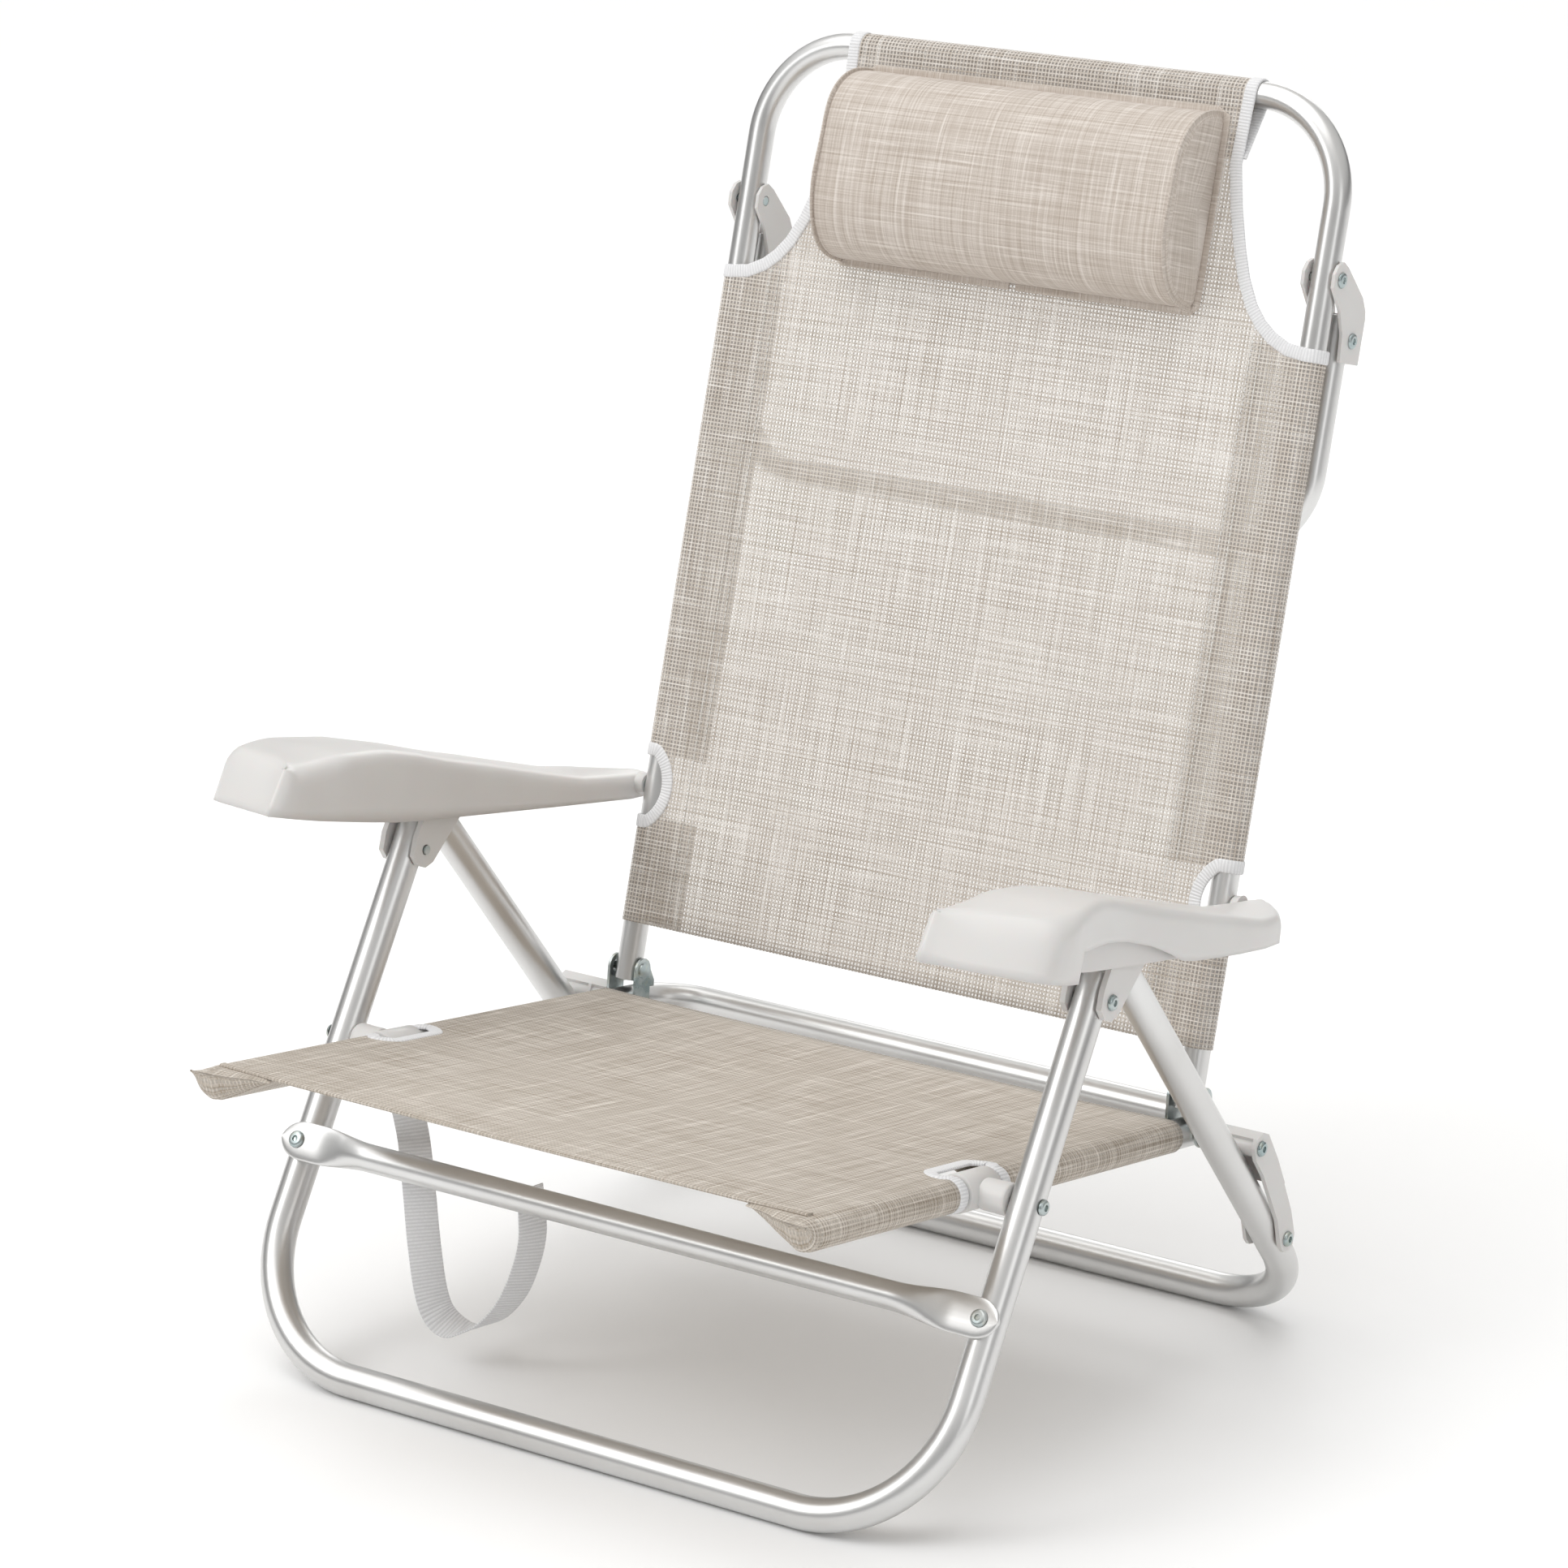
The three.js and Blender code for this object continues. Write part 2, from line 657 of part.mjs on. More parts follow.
// Circle round (tubeX, 0) drawn out to a point `reach` towards the middle, level with its top.
function teardrop(tubeX, side, radius, reach) {
  const points = [];
  const tip = [tubeX - side * reach, radius];
  const lean = 2 * Math.atan2(radius, reach);
  const start = Math.PI / 2;
  const sweep = Math.PI + lean;
  const steps = 14;
  for (let i = 0; i <= steps; i += 1) {
    const angle = start - sweep * i / steps;
    points.push([tubeX + side * radius * Math.cos(angle), radius * Math.sin(angle)]);
  }
  points.push(tip);
  return points;
}

// Hem loop run along a side-view direction from `from` to `to`.
function hem(origin, along, tubeX, radius, from, to) {
  const geometry = slab(hemLoop(tubeX, radius), to - from);
  const basis = new THREE.Matrix4().makeBasis(
    new THREE.Vector3(1, 0, 0),
    new THREE.Vector3(0, -along[1], along[0]),
    new THREE.Vector3(0, -along[0], -along[1]),
  );
  const end = go(origin, along, to);
  return geometry.applyMatrix4(basis.setPosition(0, end[0], end[1]));
}

// Flat cloth panel: outline in [x, along], lying on the sitter's side of the tubes.
function panel(origin, along, outline, height) {
  const geometry = slab(polygon(outline), CLOTH);
  geometry.translate(0, 0, height);
  return geometry.applyMatrix4(planeFrame(origin, along));
}

function seatFabric() {
  const radius = SEAT_R + SLEEVE_GAP;
  const place = (y) => (y - SEAT_PIVOT[0]) / SEAT_BACKWARD[0];
  const front = place(SEAT_CLOTH_FRONT);
  const rear = place(SEAT_CLOTH_REAR);
  const sideRear = rear + 8;
  const outline = [
    [-SEAT_X, front + 6], [-130, front], [130, front], [SEAT_X, front + 6],
    [SEAT_X, sideRear], [150, rear + 2], [-150, rear + 2], [-SEAT_X, sideRear],
  ];
  const sheet = panel(SEAT_PIVOT, SEAT_BACKWARD, outline, radius);
  const hems = SIDES.map(([, side]) => hem(
    SEAT_PIVOT, SEAT_BACKWARD, side * SEAT_X, radius, front + 6, sideRear,
  ));
  const notches = SIDES.map(([, side]) => seatNotch(side));
  return cut(join(sheet, ...hems), ...notches);
}

// Opening in the seat hem that frees the pivot spacer.
function seatNotch(side) {
  const inner = SEAT_X - SEAT_R - 6;
  const outer = SEAT_X + 3 * SEAT_R;
  const half = 27;
  const corner = 8;
  const [x0, x1] = [side * inner, side * outer];
  const cornerX = side * (inner + corner);
  const outline = [
    [x1, -half], [x1, half], [cornerX, half],
    [x0, half - corner], [x0, corner - half], [cornerX, -half],
  ];
  const geometry = slab(polygon(outline), 6 * SEAT_R);
  geometry.translate(0, 0, -3 * SEAT_R);
  return geometry.applyMatrix4(planeFrame(SEAT_PIVOT, SEAT_BACKWARD));
}

// Back panel outline in [x, along]: full width to the shoulders, then a narrower neck up to the top tube.
function backOutline() {
  const right = [
    [BACK_X, BACK_CLOTH_FOOT],
    [BACK_X, SHOULDER],
    [207, SHOULDER + 7],
    [187, SHOULDER + 24],
    [172, SHOULDER + 58],
    [NECK_HALF, SHOULDER + 112],
    [NECK_HALF + 2, BACK_LENGTH],
  ];
  const left = right.map(([x, along]) => [-x, along]).reverse();
  return [...right, ...left];
}

function backFabric() {
  const radius = BACK_R + SLEEVE_GAP;
  const sheet = panel(BACK_HINGE, BACK_UP, backOutline(), radius);
  const hems = SIDES.map(([, side]) => hem(
    BACK_HINGE, BACK_UP, side * BACK_X, radius, BACK_CLOTH_FOOT, SHOULDER,
  ));
  const notches = SIDES.map(([, side]) => {
    const drum = crossPin([0, 0], ARM_NOTCH_R, -30, 30, 22);
    drum.rotateY(Math.PI / 2);
    drum.translate(side * (BACK_X + 16), ARM_PIVOT_ALONG, 0);
    return drum.applyMatrix4(planeFrame(BACK_HINGE, BACK_UP));
  });
  return cut(join(sheet, topHem(radius), ...hems), ...notches);
}

// Sleeve of the back panel round the top tube, open at both ends.
function topHem(radius) {
  const outline = (r, reach) => teardrop(0, 1, r, reach).map(([across, up]) => [across + BACK_LENGTH, up]);
  const shape = polygon(outline(radius + CLOTH, HEM_WIDTH + 6), outline(radius, HEM_WIDTH));
  const width = 2 * (NECK_HALF + 2);
  const geometry = slab(shape, width);
  const basis = new THREE.Matrix4().makeBasis(
    new THREE.Vector3(0, BACK_UP[0], BACK_UP[1]),
    new THREE.Vector3(0, -BACK_UP[1], BACK_UP[0]),
    new THREE.Vector3(1, 0, 0),
  );
  return geometry.applyMatrix4(basis.setPosition(-width / 2, BACK_HINGE[0], BACK_HINGE[1]));
}

// Head pillow: half-round bolster sewn flat to the back panel.
function headrestPillow() {
  const base = BACK_R + SLEEVE_GAP + CLOTH + CLEARANCE;
  const low = 507;
  const high = 636;
  const middle = (low + high) / 2;
  const steps = 12;
  const profile = [[low, base]];
  for (let i = 0; i <= steps; i += 1) {
    const angle = Math.PI * (1 - i / steps);
    profile.push([
      middle + (high - low) / 2 * Math.cos(angle),
      base + 6 + 46 * Math.sin(angle) ** 0.8,
    ]);
  }
  profile.push([high, base]);
  const half = 142;
  const outline = profile.map(([along, front]) => backPoint(along, front));
  return sideSlab(outline, -half, half);
}

// ---------------------------------------------------------------- back and its rear prop frame
function backFrame() {
  const foot = backPoint(-BACK_FOOT);
  const head = backPoint(BACK_LENGTH);
  const frame = uFrame(BACK_X, foot, head, BACK_BEND, BACK_R, BACK_WALL);
  const holes = [];
  for (const [, side] of SIDES) {
    const span = [side * (BACK_X - 2 * BACK_R), side * (BACK_X + 2 * BACK_R)];
    holes.push(throughHole(BACK_HINGE, BACK_RIVET_HOLE_R, ...span));
    holes.push(throughHole(ARM_PIVOT, ARM_PIN_R + 0.4, ...span));
    holes.push(throughHole(STAND_PIVOT, HOLE_R, ...span));
  }
  return cut(frame, ...holes);
}

const STAND_SCREW = backPoint(502.4, -STAND_OFFSET);
const STAND_CHEEK_GAP = BACK_R + 1;
const STAND_CHEEK = 2.6;
const STAND_HEAD_H = 1.6;

function standFrame() {
  const top = backPoint(STAND_TOP, -STAND_OFFSET);
  const foot = backPoint(STAND_FOOT, -STAND_OFFSET);
  const frame = uFrame(BACK_X, top, foot, STAND_BEND, BACK_R, BACK_WALL);
  const holes = SIDES.map(([, side]) => throughHole(
    STAND_SCREW,
    HOLE_R,
    side * (BACK_X - 2 * BACK_R),
    side * (BACK_X + 2 * BACK_R),
  ));
  return cut(frame, ...holes);
}

// Plastic bracket: two cheeks on either side of the upright, joined by a web behind the prop tube.
// It and its low screw heads stay inside the plane that the armrests fold down through.
function standBracket(side) {
  const inner = BACK_X - STAND_CHEEK_GAP;
  const outer = BACK_X + STAND_CHEEK_GAP;
  const local = (along, behind) => backPoint(STAND_PIVOT_ALONG + along, -behind);
  const cheek = [
    local(3, -9.5),
    local(9, -6),
    local(12, 0),
    local(9, 7),
    local(-8, 32),
    local(-16, 38),
    local(-24, 39.5),
    local(-52, 39.5),
    local(-52, 15),
    local(-34, 12.5),
    local(-20, 5),
    local(-6, -9),
  ];
  const web = [
    local(-20, 36.2),
    local(-20, 39.5),
    local(-52, 39.5),
    local(-52, 36.2),
  ];
  const body = join(
    sidedSlab(cheek, side, inner - STAND_CHEEK, inner),
    sidedSlab(cheek, side, outer, outer + STAND_CHEEK),
    sidedSlab(web, side, inner - STAND_CHEEK, outer + STAND_CHEEK),
  );
  const span = [side * (inner - 9), side * (outer + 9)];
  return cut(body, throughHole(STAND_PIVOT, HOLE_R, ...span), throughHole(STAND_SCREW, HOLE_R, ...span));
}

const standScrew = (centre, side) => crossScrew(
  centre,
  side,
  BACK_X + STAND_CHEEK_GAP + STAND_CHEEK + CLEARANCE,
  BACK_X - STAND_CHEEK_GAP - STAND_CHEEK + 0.4,
  STAND_HEAD_H,
);

// ---------------------------------------------------------------- armrests
const ARM_FORWARD = aim(180 - ARM_SLOPE);

// Armrest side profile: `forward` from the pivot, `up` square to the arm.
const armPoint = (forward, up) => go(ARM_PIVOT, ARM_FORWARD, forward, -up);

const ARM_TOP = [
  [-13, 3], [-8, 6], [20, 6.5], [60, 8], [117, 17], [165, 25], [211, 32],
  [255, 40], [285, 43.5], [336, 43], [366, 41], [378, 39], [384, 35],
];
const ARM_BOTTOM = [
  [396, 9], [392, 7.2], [350, 2], [300, -3], [263, -6],
  [200, -7.5], [100, -9.5], [10, -11], [-8, -10], [-13, -6],
];

// Armrest plan outline on the right side: [x, forward].
const ARM_PLAN = [
  [246, -13], [262, -9], [280, 12], [293, 34], [299, 62], [302, 110], [300, 165], [298, 205],
  [299, 238], [306, 268], [315, 296], [320, 318], [320, 358], [317, 367], [308, 374], [262, 392],
  [253, 393], [246, 388], [244, 378], [ARM_INNER, 300], [ARM_INNER, -2], [244, -9],
];

function armSideSolid(drop, x0, x1) {
  const profile = [...ARM_TOP, ...ARM_BOTTOM].map(([forward, up]) => armPoint(forward, up - drop));
  return sideSlab(profile, x0, x1);
}

function armPlanSolid(inset) {
  const centre = [272, 190];
  const outline = ARM_PLAN.map(([x, forward]) => [
    x + Math.sign(centre[0] - x) * inset,
    centre[1] + (forward - centre[1]) * (1 - inset / 205),
  ]);
  const geometry = slab(polygon(outline), 140);
  geometry.translate(0, 0, -70);
  const basis = new THREE.Matrix4().makeBasis(
    new THREE.Vector3(1, 0, 0),
    new THREE.Vector3(0, ARM_FORWARD[0], ARM_FORWARD[1]),
    new THREE.Vector3(0, -ARM_FORWARD[1], ARM_FORWARD[0]),
  );
  return geometry.applyMatrix4(basis.setPosition(0, ARM_PIVOT[0], ARM_PIVOT[1]));
}

// Lower edge of the outer flange sweeps up towards the front so that fingers can close round it.
function armFingerCut() {
  const outline = [
    armPoint(150, -14), armPoint(172, -4), armPoint(200, 5), armPoint(235, 12),
    armPoint(272, 16), armPoint(300, 16), armPoint(300, -30), armPoint(150, -30),
  ];
  return sideSlab(outline, 292.2, 340);
}

function rightArmrest() {
  const body = common(armPlanSolid(0), armSideSolid(0, 230, 340));
  const hollow = common(armPlanSolid(ARM_WALL), armSideSolid(ARM_WALL, 230, 340));
  const belowPocket = common(armPlanSolid(ARM_WALL), armSideSolid(24, 230, 340));
  const shell = cut(body, cut(join(hollow, belowPocket), armNoseWall()), armFingerCut());
  const innerRail = common(body, sideSlab(railOutline(), 289, 291.4));
  const boss = crossPin(ARM_PIVOT, 6.2, BACK_X + BACK_R + CLEARANCE, ARM_INNER + 6, 20);
  const bore = throughHole(ARM_PIVOT, ARM_PIN_R + 0.4, BACK_X, ARM_INNER + 12);
  return cut(join(shell, innerRail, boss), bore);
}

// Cross wall inside the arm that closes the nose off from the channel.
function armNoseWall() {
  const outline = [armPoint(348, -40), armPoint(351, -40), armPoint(351, 60), armPoint(348, 60)];
  return sideSlab(outline, 230, 340);
}

// Inner rail that the leg fork slides along.
function railOutline() {
  return [armPoint(120, -12), armPoint(352, -12), armPoint(352, 60), armPoint(120, 60)];
}

function armrest(side) {
  const right = rightArmrest();
  return side > 0 ? right : mirrored(right);
}

// Mirror image in X.
const mirrored = (geometry) => toGeometry(toSolid(geometry).mirror([1, 0, 0]));

// Dowel from inside the upright through the arm's boss.
function armrestPin(side) {
  return crossPin(ARM_PIVOT, ARM_PIN_R, side * (BACK_X - 4), side * (ARM_INNER + 5), 16);
}

// ---------------------------------------------------------------- carrying strap
// Flat webbing loop hanging behind the cross bar: [x, y, z, half-width across the band].
function carryStrap() {
  const stations = [
    [-198, -160, 190], [-196, -160, 172], [-190, -161, 150], [-184, -164, 118], [-178, -167, 80],
    [-172, -168, 48], [-164, -168, 33], [-150, -168, 28], [-134, -168, 33], [-118, -168, 44],
    [-104, -167, 62], [-95, -165, 84], [-91, -163, 104], [-92, -162, 122], [-93, -162, 138],
  ].map(([x, y, z]) => new THREE.Vector3(x, y, z));
  const half = 11;
  const thickness = 1.4;
  const rings = stations.map((point, i) => {
    const before = stations[Math.max(i - 1, 0)];
    const after = stations[Math.min(i + 1, stations.length - 1)];
    const tangent = new THREE.Vector3().subVectors(after, before).normalize();
    const across = bandDirection(i / (stations.length - 1));
    across.addScaledVector(tangent, -across.dot(tangent)).normalize();
    const normal = new THREE.Vector3().crossVectors(tangent, across);
    const corner = (a, n) => point.clone()
      .addScaledVector(across, a * half)
      .addScaledVector(normal, n * thickness / 2);
    return [corner(-1, -1), corner(1, -1), corner(1, 1), corner(-1, 1)];
  });
  return bandLoft(rings);
}

// The band turns from facing the front at its left end to edge-on at its right end.
function bandDirection(t) {
  const turn = radians(20 + 60 * t);
  return new THREE.Vector3(Math.cos(turn), Math.sin(turn), 0.2);
}

function bandLoft(rings) {
  const positions = [];
  const index = [];
  for (const ring of rings) {
    for (const p of ring) positions.push(p.x, p.y, p.z);
  }
  const count = rings[0].length;
  const quad = (a, b, c, d) => index.push(a, b, c, a, c, d);
  for (let r = 0; r < rings.length - 1; r += 1) {
    for (let i = 0; i < count; i += 1) {
      const next = (i + 1) % count;
      quad(r * count + i, r * count + next, (r + 1) * count + next, (r + 1) * count + i);
    }
  }
  const last = (rings.length - 1) * count;
  quad(3, 2, 1, 0);
  quad(last, last + 1, last + 2, last + 3);
  return surface(positions, index);
}

// ---------------------------------------------------------------- assembly
function part(name, geometry, colour) {
  const metal = colour === ALUMINIUM || colour === ZINC;
  const material = new THREE.MeshStandardMaterial({
    color: colour,
    metalness: metal ? 0.9 : 0,
    roughness: metal ? 0.35 : 0.7,
  });
  const mesh = new THREE.Mesh(geometry, material);
  mesh.name = name;
  return mesh;
}

function paired(name, build, colour) {
  return SIDES.map(([word, side]) => part(`${name}_${word}`, build(side), colour));
}

// Shift every part so that the origin is at the middle of the footprint, on the floor.
function centreOnFloor(group) {
  const box = new THREE.Box3().setFromObject(group);
  const shift = box.getCenter(new THREE.Vector3()).negate();
  for (const mesh of group.children) mesh.geometry.translate(shift.x, shift.y, -box.min.z);
  return group;
}

const chair = new THREE.Group();
chair.name = 'beach_chair';
chair.add(
  part('front_leg_frame', frontLegFrame(), ALUMINIUM),
  part('front_crossbar', frontCrossbar(), ALUMINIUM),
  ...paired('crossbar_screw', crossbarScrew, ZINC),
  ...paired('seat_pivot_bolt', seatPivotBolt, ZINC),
  part('carry_strap', carryStrap(), WEBBING),
  part('rear_leg_frame', rearLegFrame(), ALUMINIUM),
  ...paired('leg_clevis', legClevis, PLASTIC),
  ...paired('clevis_screw', clevisScrew, ZINC),
  ...paired('rear_link', rearLink, PLASTIC),
  ...paired('link_high_screw', linkHighScrew, ZINC),
  ...paired('link_low_screw', linkLowScrew, ZINC),
  part('seat_frame', seatFrame(), ALUMINIUM),
  ...paired('seat_tube_cap', seatTubeCap, PLASTIC),
  ...paired('seat_pivot_spacer', seatPivotSpacer, PLASTIC),
  ...paired('hinge_bracket', hingeBracket, ZINC),
  ...paired('hinge_rivet_low', lowRivet, ZINC),
  ...paired('hinge_rivet_high', highRivet, ZINC),
  part('seat_fabric', seatFabric(), FABRIC),
  part('back_frame', backFrame(), ALUMINIUM),
  part('back_fabric', backFabric(), FABRIC),
  part('headrest_pillow', headrestPillow(), FABRIC),
  part('stand_frame', standFrame(), ALUMINIUM),
  ...paired('stand_bracket', standBracket, PLASTIC),
  ...paired('stand_pivot_screw', (side) => standScrew(STAND_PIVOT, side), ZINC),
  ...paired('stand_tube_screw', (side) => standScrew(STAND_SCREW, side), ZINC),
  ...paired('armrest', armrest, PLASTIC),
  ...paired('armrest_pin', armrestPin, ZINC),
);

export default centreOnFloor(chair);
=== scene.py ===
"""Looks of the folding beach chair: smooth tubes, woven sling cloth, plastic mouldings, camera and light.

Lengths below are millimetres in the shared frame, and `mm` turns a point into metres.
X runs across the chair, the chair faces -Y and Z is up. Left-hand pieces sit at negative X.
"""
import json
import math

import bmesh
import bpy
from mathutils import Matrix, Vector


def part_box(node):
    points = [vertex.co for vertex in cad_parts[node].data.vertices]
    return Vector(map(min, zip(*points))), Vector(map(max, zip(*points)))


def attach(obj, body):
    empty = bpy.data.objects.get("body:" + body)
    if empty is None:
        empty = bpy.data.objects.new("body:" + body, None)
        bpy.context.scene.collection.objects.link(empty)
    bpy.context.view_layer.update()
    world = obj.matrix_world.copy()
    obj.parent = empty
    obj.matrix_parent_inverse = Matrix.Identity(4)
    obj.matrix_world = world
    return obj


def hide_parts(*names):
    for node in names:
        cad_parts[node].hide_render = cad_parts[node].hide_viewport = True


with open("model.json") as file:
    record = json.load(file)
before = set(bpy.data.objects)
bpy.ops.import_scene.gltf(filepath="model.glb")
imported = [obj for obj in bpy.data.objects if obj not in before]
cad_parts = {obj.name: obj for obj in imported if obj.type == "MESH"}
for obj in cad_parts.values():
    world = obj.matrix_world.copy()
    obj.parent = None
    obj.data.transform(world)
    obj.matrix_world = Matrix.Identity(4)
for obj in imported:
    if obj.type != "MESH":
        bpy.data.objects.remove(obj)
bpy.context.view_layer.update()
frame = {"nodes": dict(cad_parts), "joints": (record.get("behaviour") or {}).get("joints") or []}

# --- driving dimensions
MM = 0.001
SIDES = (("left", -1), ("right", 1))
TUBE_SIDES, BEND_STEPS, TUBE_MOUTH, TUBE_RIM = 40, 20, 18, 0.3

LEG_X, LEG_R, LEG_WALL = 270, 11, 1.3
FRONT_BEND, FRONT_ANGLE, FRONT_TOP = 92, 58.7, 16
REAR_BEND, REAR_ANGLE, REAR_TOP = 76, 51.3, 398
SEAT_X, SEAT_R, SEAT_BEND = 228.2, 10, 38
SEAT_FRONT, SEAT_REAR = -164, 303
BACK_X, BACK_R, BACK_BEND = 228.2, 9, 67
BACK_ANGLE, BACK_LENGTH, BACK_FOOT = 74.15, 651.8, 8
THIN_WALL = 1.15
FASTENER_HEAD_R = 5.6

BAR_R, BAR_ALONG, BAR_OFFSET = 9.3, 142, 15
PLATE_OFFSET, PLATE_HALF_WIDTH, PLATE_HALF_THICK = 13.1, 13, 1.7
PRESS_START, PRESS_LENGTH, PLATE_TIP_START, PLATE_TIP_LENGTH = 208, 44, 266, 17.2
BAR_SCREW_FROM, BAR_SCREW_HEAD_R, BAR_SCREW_HEAD = 6, 5.8, 2.4
STAND_OFFSET, STAND_TOP, STAND_FOOT, STAND_BEND = 26.3, 518, 358.8, 56

CLOTH = 0.7
CLOTH_LIFT = 0.75
HEM = 43
SEAT_CLOTH_FRONT, SEAT_CLOTH_REAR = -178, 236
SEAT_NOTCH_HALF, SEAT_NOTCH_DEPTH = 27, 16
BACK_CLOTH_FOOT, SHOULDER, NECK_HALF = 33, 492, 158
ARM_NOTCH_R, ARM_NOTCH_OUT = 27, 16
BINDING_WIDTH, BINDING_THICK = 9, 2.2
STITCH_LENGTH, STITCH_GAP = 3.2, 1.3
STITCH_PROFILE = ((0.0, 0.15), (0.25, 0.35), (0.75, 0.35), (1.0, 0.15))
HEM_ROLL, HEM_ROLL_THICK = 6.5, 2.6
TOE_FLATTENING = ((-1, 0.0), (5, 0.03), (8, 0.14), (10.5, 0.34), (12.5, 0.58), (14.5, 0.8), (16, 0.92),
                  (17, 0.95))

PILLOW_LOW, PILLOW_HIGH, PILLOW_HALF, PILLOW_DEPTH = 507, 636, 141, 50
PILLOW_FLANGE, PILLOW_FLANGE_THICK, PILLOW_RIDGE, PILLOW_RIDGE_THICK, PILLOW_DOME = 9, 1.5, 4.5, 1.6, 5

# --- side-plane helpers
def mm(x, y, z):
    """Point given in millimetres, in metres."""
    return Vector((x, y, z)) * MM


def aim(degrees):
    """Side-view direction at an angle above backward."""
    return math.cos(math.radians(degrees)), math.sin(math.radians(degrees))


def pivot(joint_name):
    """Side-view place of a joint's axis, (y, z) in millimetres."""
    joint = next(j for j in frame["joints"] if j["name"] == joint_name)
    return joint["pos_m"][1] * 1000, joint["pos_m"][2] * 1000


def middle(node):
    """Side-view middle of a CAD node's box, (y, z) in millimetres."""
    low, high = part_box(node)
    return (low.y + high.y) * 500, (low.z + high.z) * 500


def go(start, along, distance, sideways=0.0):
    """Point reached by going along a side-view direction, then along its left normal."""
    return (
        start[0] + along[0] * distance - along[1] * sideways,
        start[1] + along[1] * distance + along[0] * sideways,
    )


LEG_PIVOT, SEAT_PIVOT = pivot("fold"), pivot("seat_fold")
BACK_HINGE, ARM_PIVOT = pivot("recline"), pivot("arm_fold")
LINK_HIGH = middle("link_high_screw_right")
FRONT_UP, REAR_UP, BACK_UP = aim(FRONT_ANGLE), aim(180 - REAR_ANGLE), aim(BACK_ANGLE)
SEAT_SPAN = math.hypot(LINK_HIGH[0] - SEAT_PIVOT[0], LINK_HIGH[1] - SEAT_PIVOT[1])
SEAT_BACKWARD = ((LINK_HIGH[0] - SEAT_PIVOT[0]) / SEAT_SPAN, (LINK_HIGH[1] - SEAT_PIVOT[1]) / SEAT_SPAN)
FRONT_FLOOR = (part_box("front_leg_frame")[0].y * 1000 + LEG_R, LEG_R)
REAR_FLOOR = (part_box("rear_leg_frame")[1].y * 1000 - LEG_R, LEG_R)
SEAT_UP = Vector((0, -SEAT_BACKWARD[1], SEAT_BACKWARD[0]))
BACK_FRONT = Vector((0, -BACK_UP[1], BACK_UP[0]))
FRAME_SHIFT = LEG_PIVOT[0] + 63


def seat_point(x, along, above):
    """Point on the seat: along its tubes from the seat pivot, and above their axis."""
    return mm(x, *go(SEAT_PIVOT, SEAT_BACKWARD, along, above))


def back_point(x, along, front):
    """Point on the back: up its tubes from the hinge, and in front of their axis."""
    return mm(x, *go(BACK_HINGE, BACK_UP, along, front))


def lerp_table(table, value):
    """Value of a two-column table at `value`, straight between its lines."""
    if value <= table[0][0]:
        return table[0][1]
    for (a, fa), (b, fb) in zip(table, table[1:]):
        if value <= b:
            return fa + (fb - fa) * (value - a) / (b - a)
    return table[-1][1]


def spread(start, end, count):
    """Both ends and the even steps between them."""
    return [start + (end - start) * i / count for i in range(count + 1)]


def smoothstep(t):
    """Soft rise from 0 to 1."""
    t = min(max(t, 0.0), 1.0)
    return t * t * (3 - 2 * t)


def circle(count):
    """Angles of even steps round a circle."""
    return [2 * math.pi * i / count for i in range(count)]


def path_lengths(points):
    """Length of the path so far, at each of its points."""
    lengths = [0.0]
    for a, b in zip(points, points[1:]):
        lengths.append(lengths[-1] + math.dist(a, b))
    return lengths


# --- mesh helpers
def new_object(name, data):
    obj = bpy.data.objects.new(name, data)
    bpy.context.scene.collection.objects.link(obj)
    return obj


def from_bmesh(name, bm, smooth_angle=40):
    """Smooth-shaded object whose edges stay sharp above the angle."""
    bmesh.ops.recalc_face_normals(bm, faces=bm.faces)
    mesh = bpy.data.meshes.new(name)
    bm.to_mesh(mesh)
    bm.free()
    mesh.shade_smooth()
    mesh.set_sharp_from_angle(angle=math.radians(smooth_angle))
    return new_object(name, mesh)


def add_strip(bm, rows, closed=False, uvs=None):
    """Quads between rows of points; `closed` joins each row's ends. Returns the rows of vertices."""
    layer = bm.loops.layers.uv.verify()
    verts = [[bm.verts.new(p) for p in row] for row in rows]
    count = len(rows[0])
    for r in range(len(rows) - 1):
        for i in range(count if closed else count - 1):
            k = (i + 1) % count
            face = bm.faces.new((verts[r][i], verts[r][k], verts[r + 1][k], verts[r + 1][i]))
            if uvs:
                corners = ((r, i), (r, i + 1), (r + 1, i + 1), (r + 1, i))
                for loop, (row, column) in zip(face.loops, corners):
                    loop[layer].uv = uvs(row, column)
    return verts


def add_rod(bm, rings, uvs=None):
    """Closed skin through rings of points, with a flat face on each end."""
    verts = add_strip(bm, rings, closed=True, uvs=uvs)
    bm.faces.new(verts[0])
    bm.faces.new(list(reversed(verts[-1])))


def rod(name, rings, smooth_angle=40, uvs=None):
    """Object made of one closed skin through rings of points."""
    bm = bmesh.new()
    add_rod(bm, rings, uvs)
    return from_bmesh(name, bm, smooth_angle)


def thicken(piece, thickness, offset):
    """Gives a single skin its thickness: offset -1 keeps the skin outside, 0 in the middle."""
    wall = piece.modifiers.new("wall", "SOLIDIFY")
    wall.thickness = thickness * MM
    wall.offset = offset


def fit(piece, body, look, *nodes):
    """Gives a piece its body and the material of its (slot, material) look, and hides the CAD nodes it stands
    for; the slot name is not used.
    """
    slot, material = look
    piece.data.materials.clear()
    piece.data.materials.append(material)
    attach(piece, body)
    if nodes:
        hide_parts(*nodes)


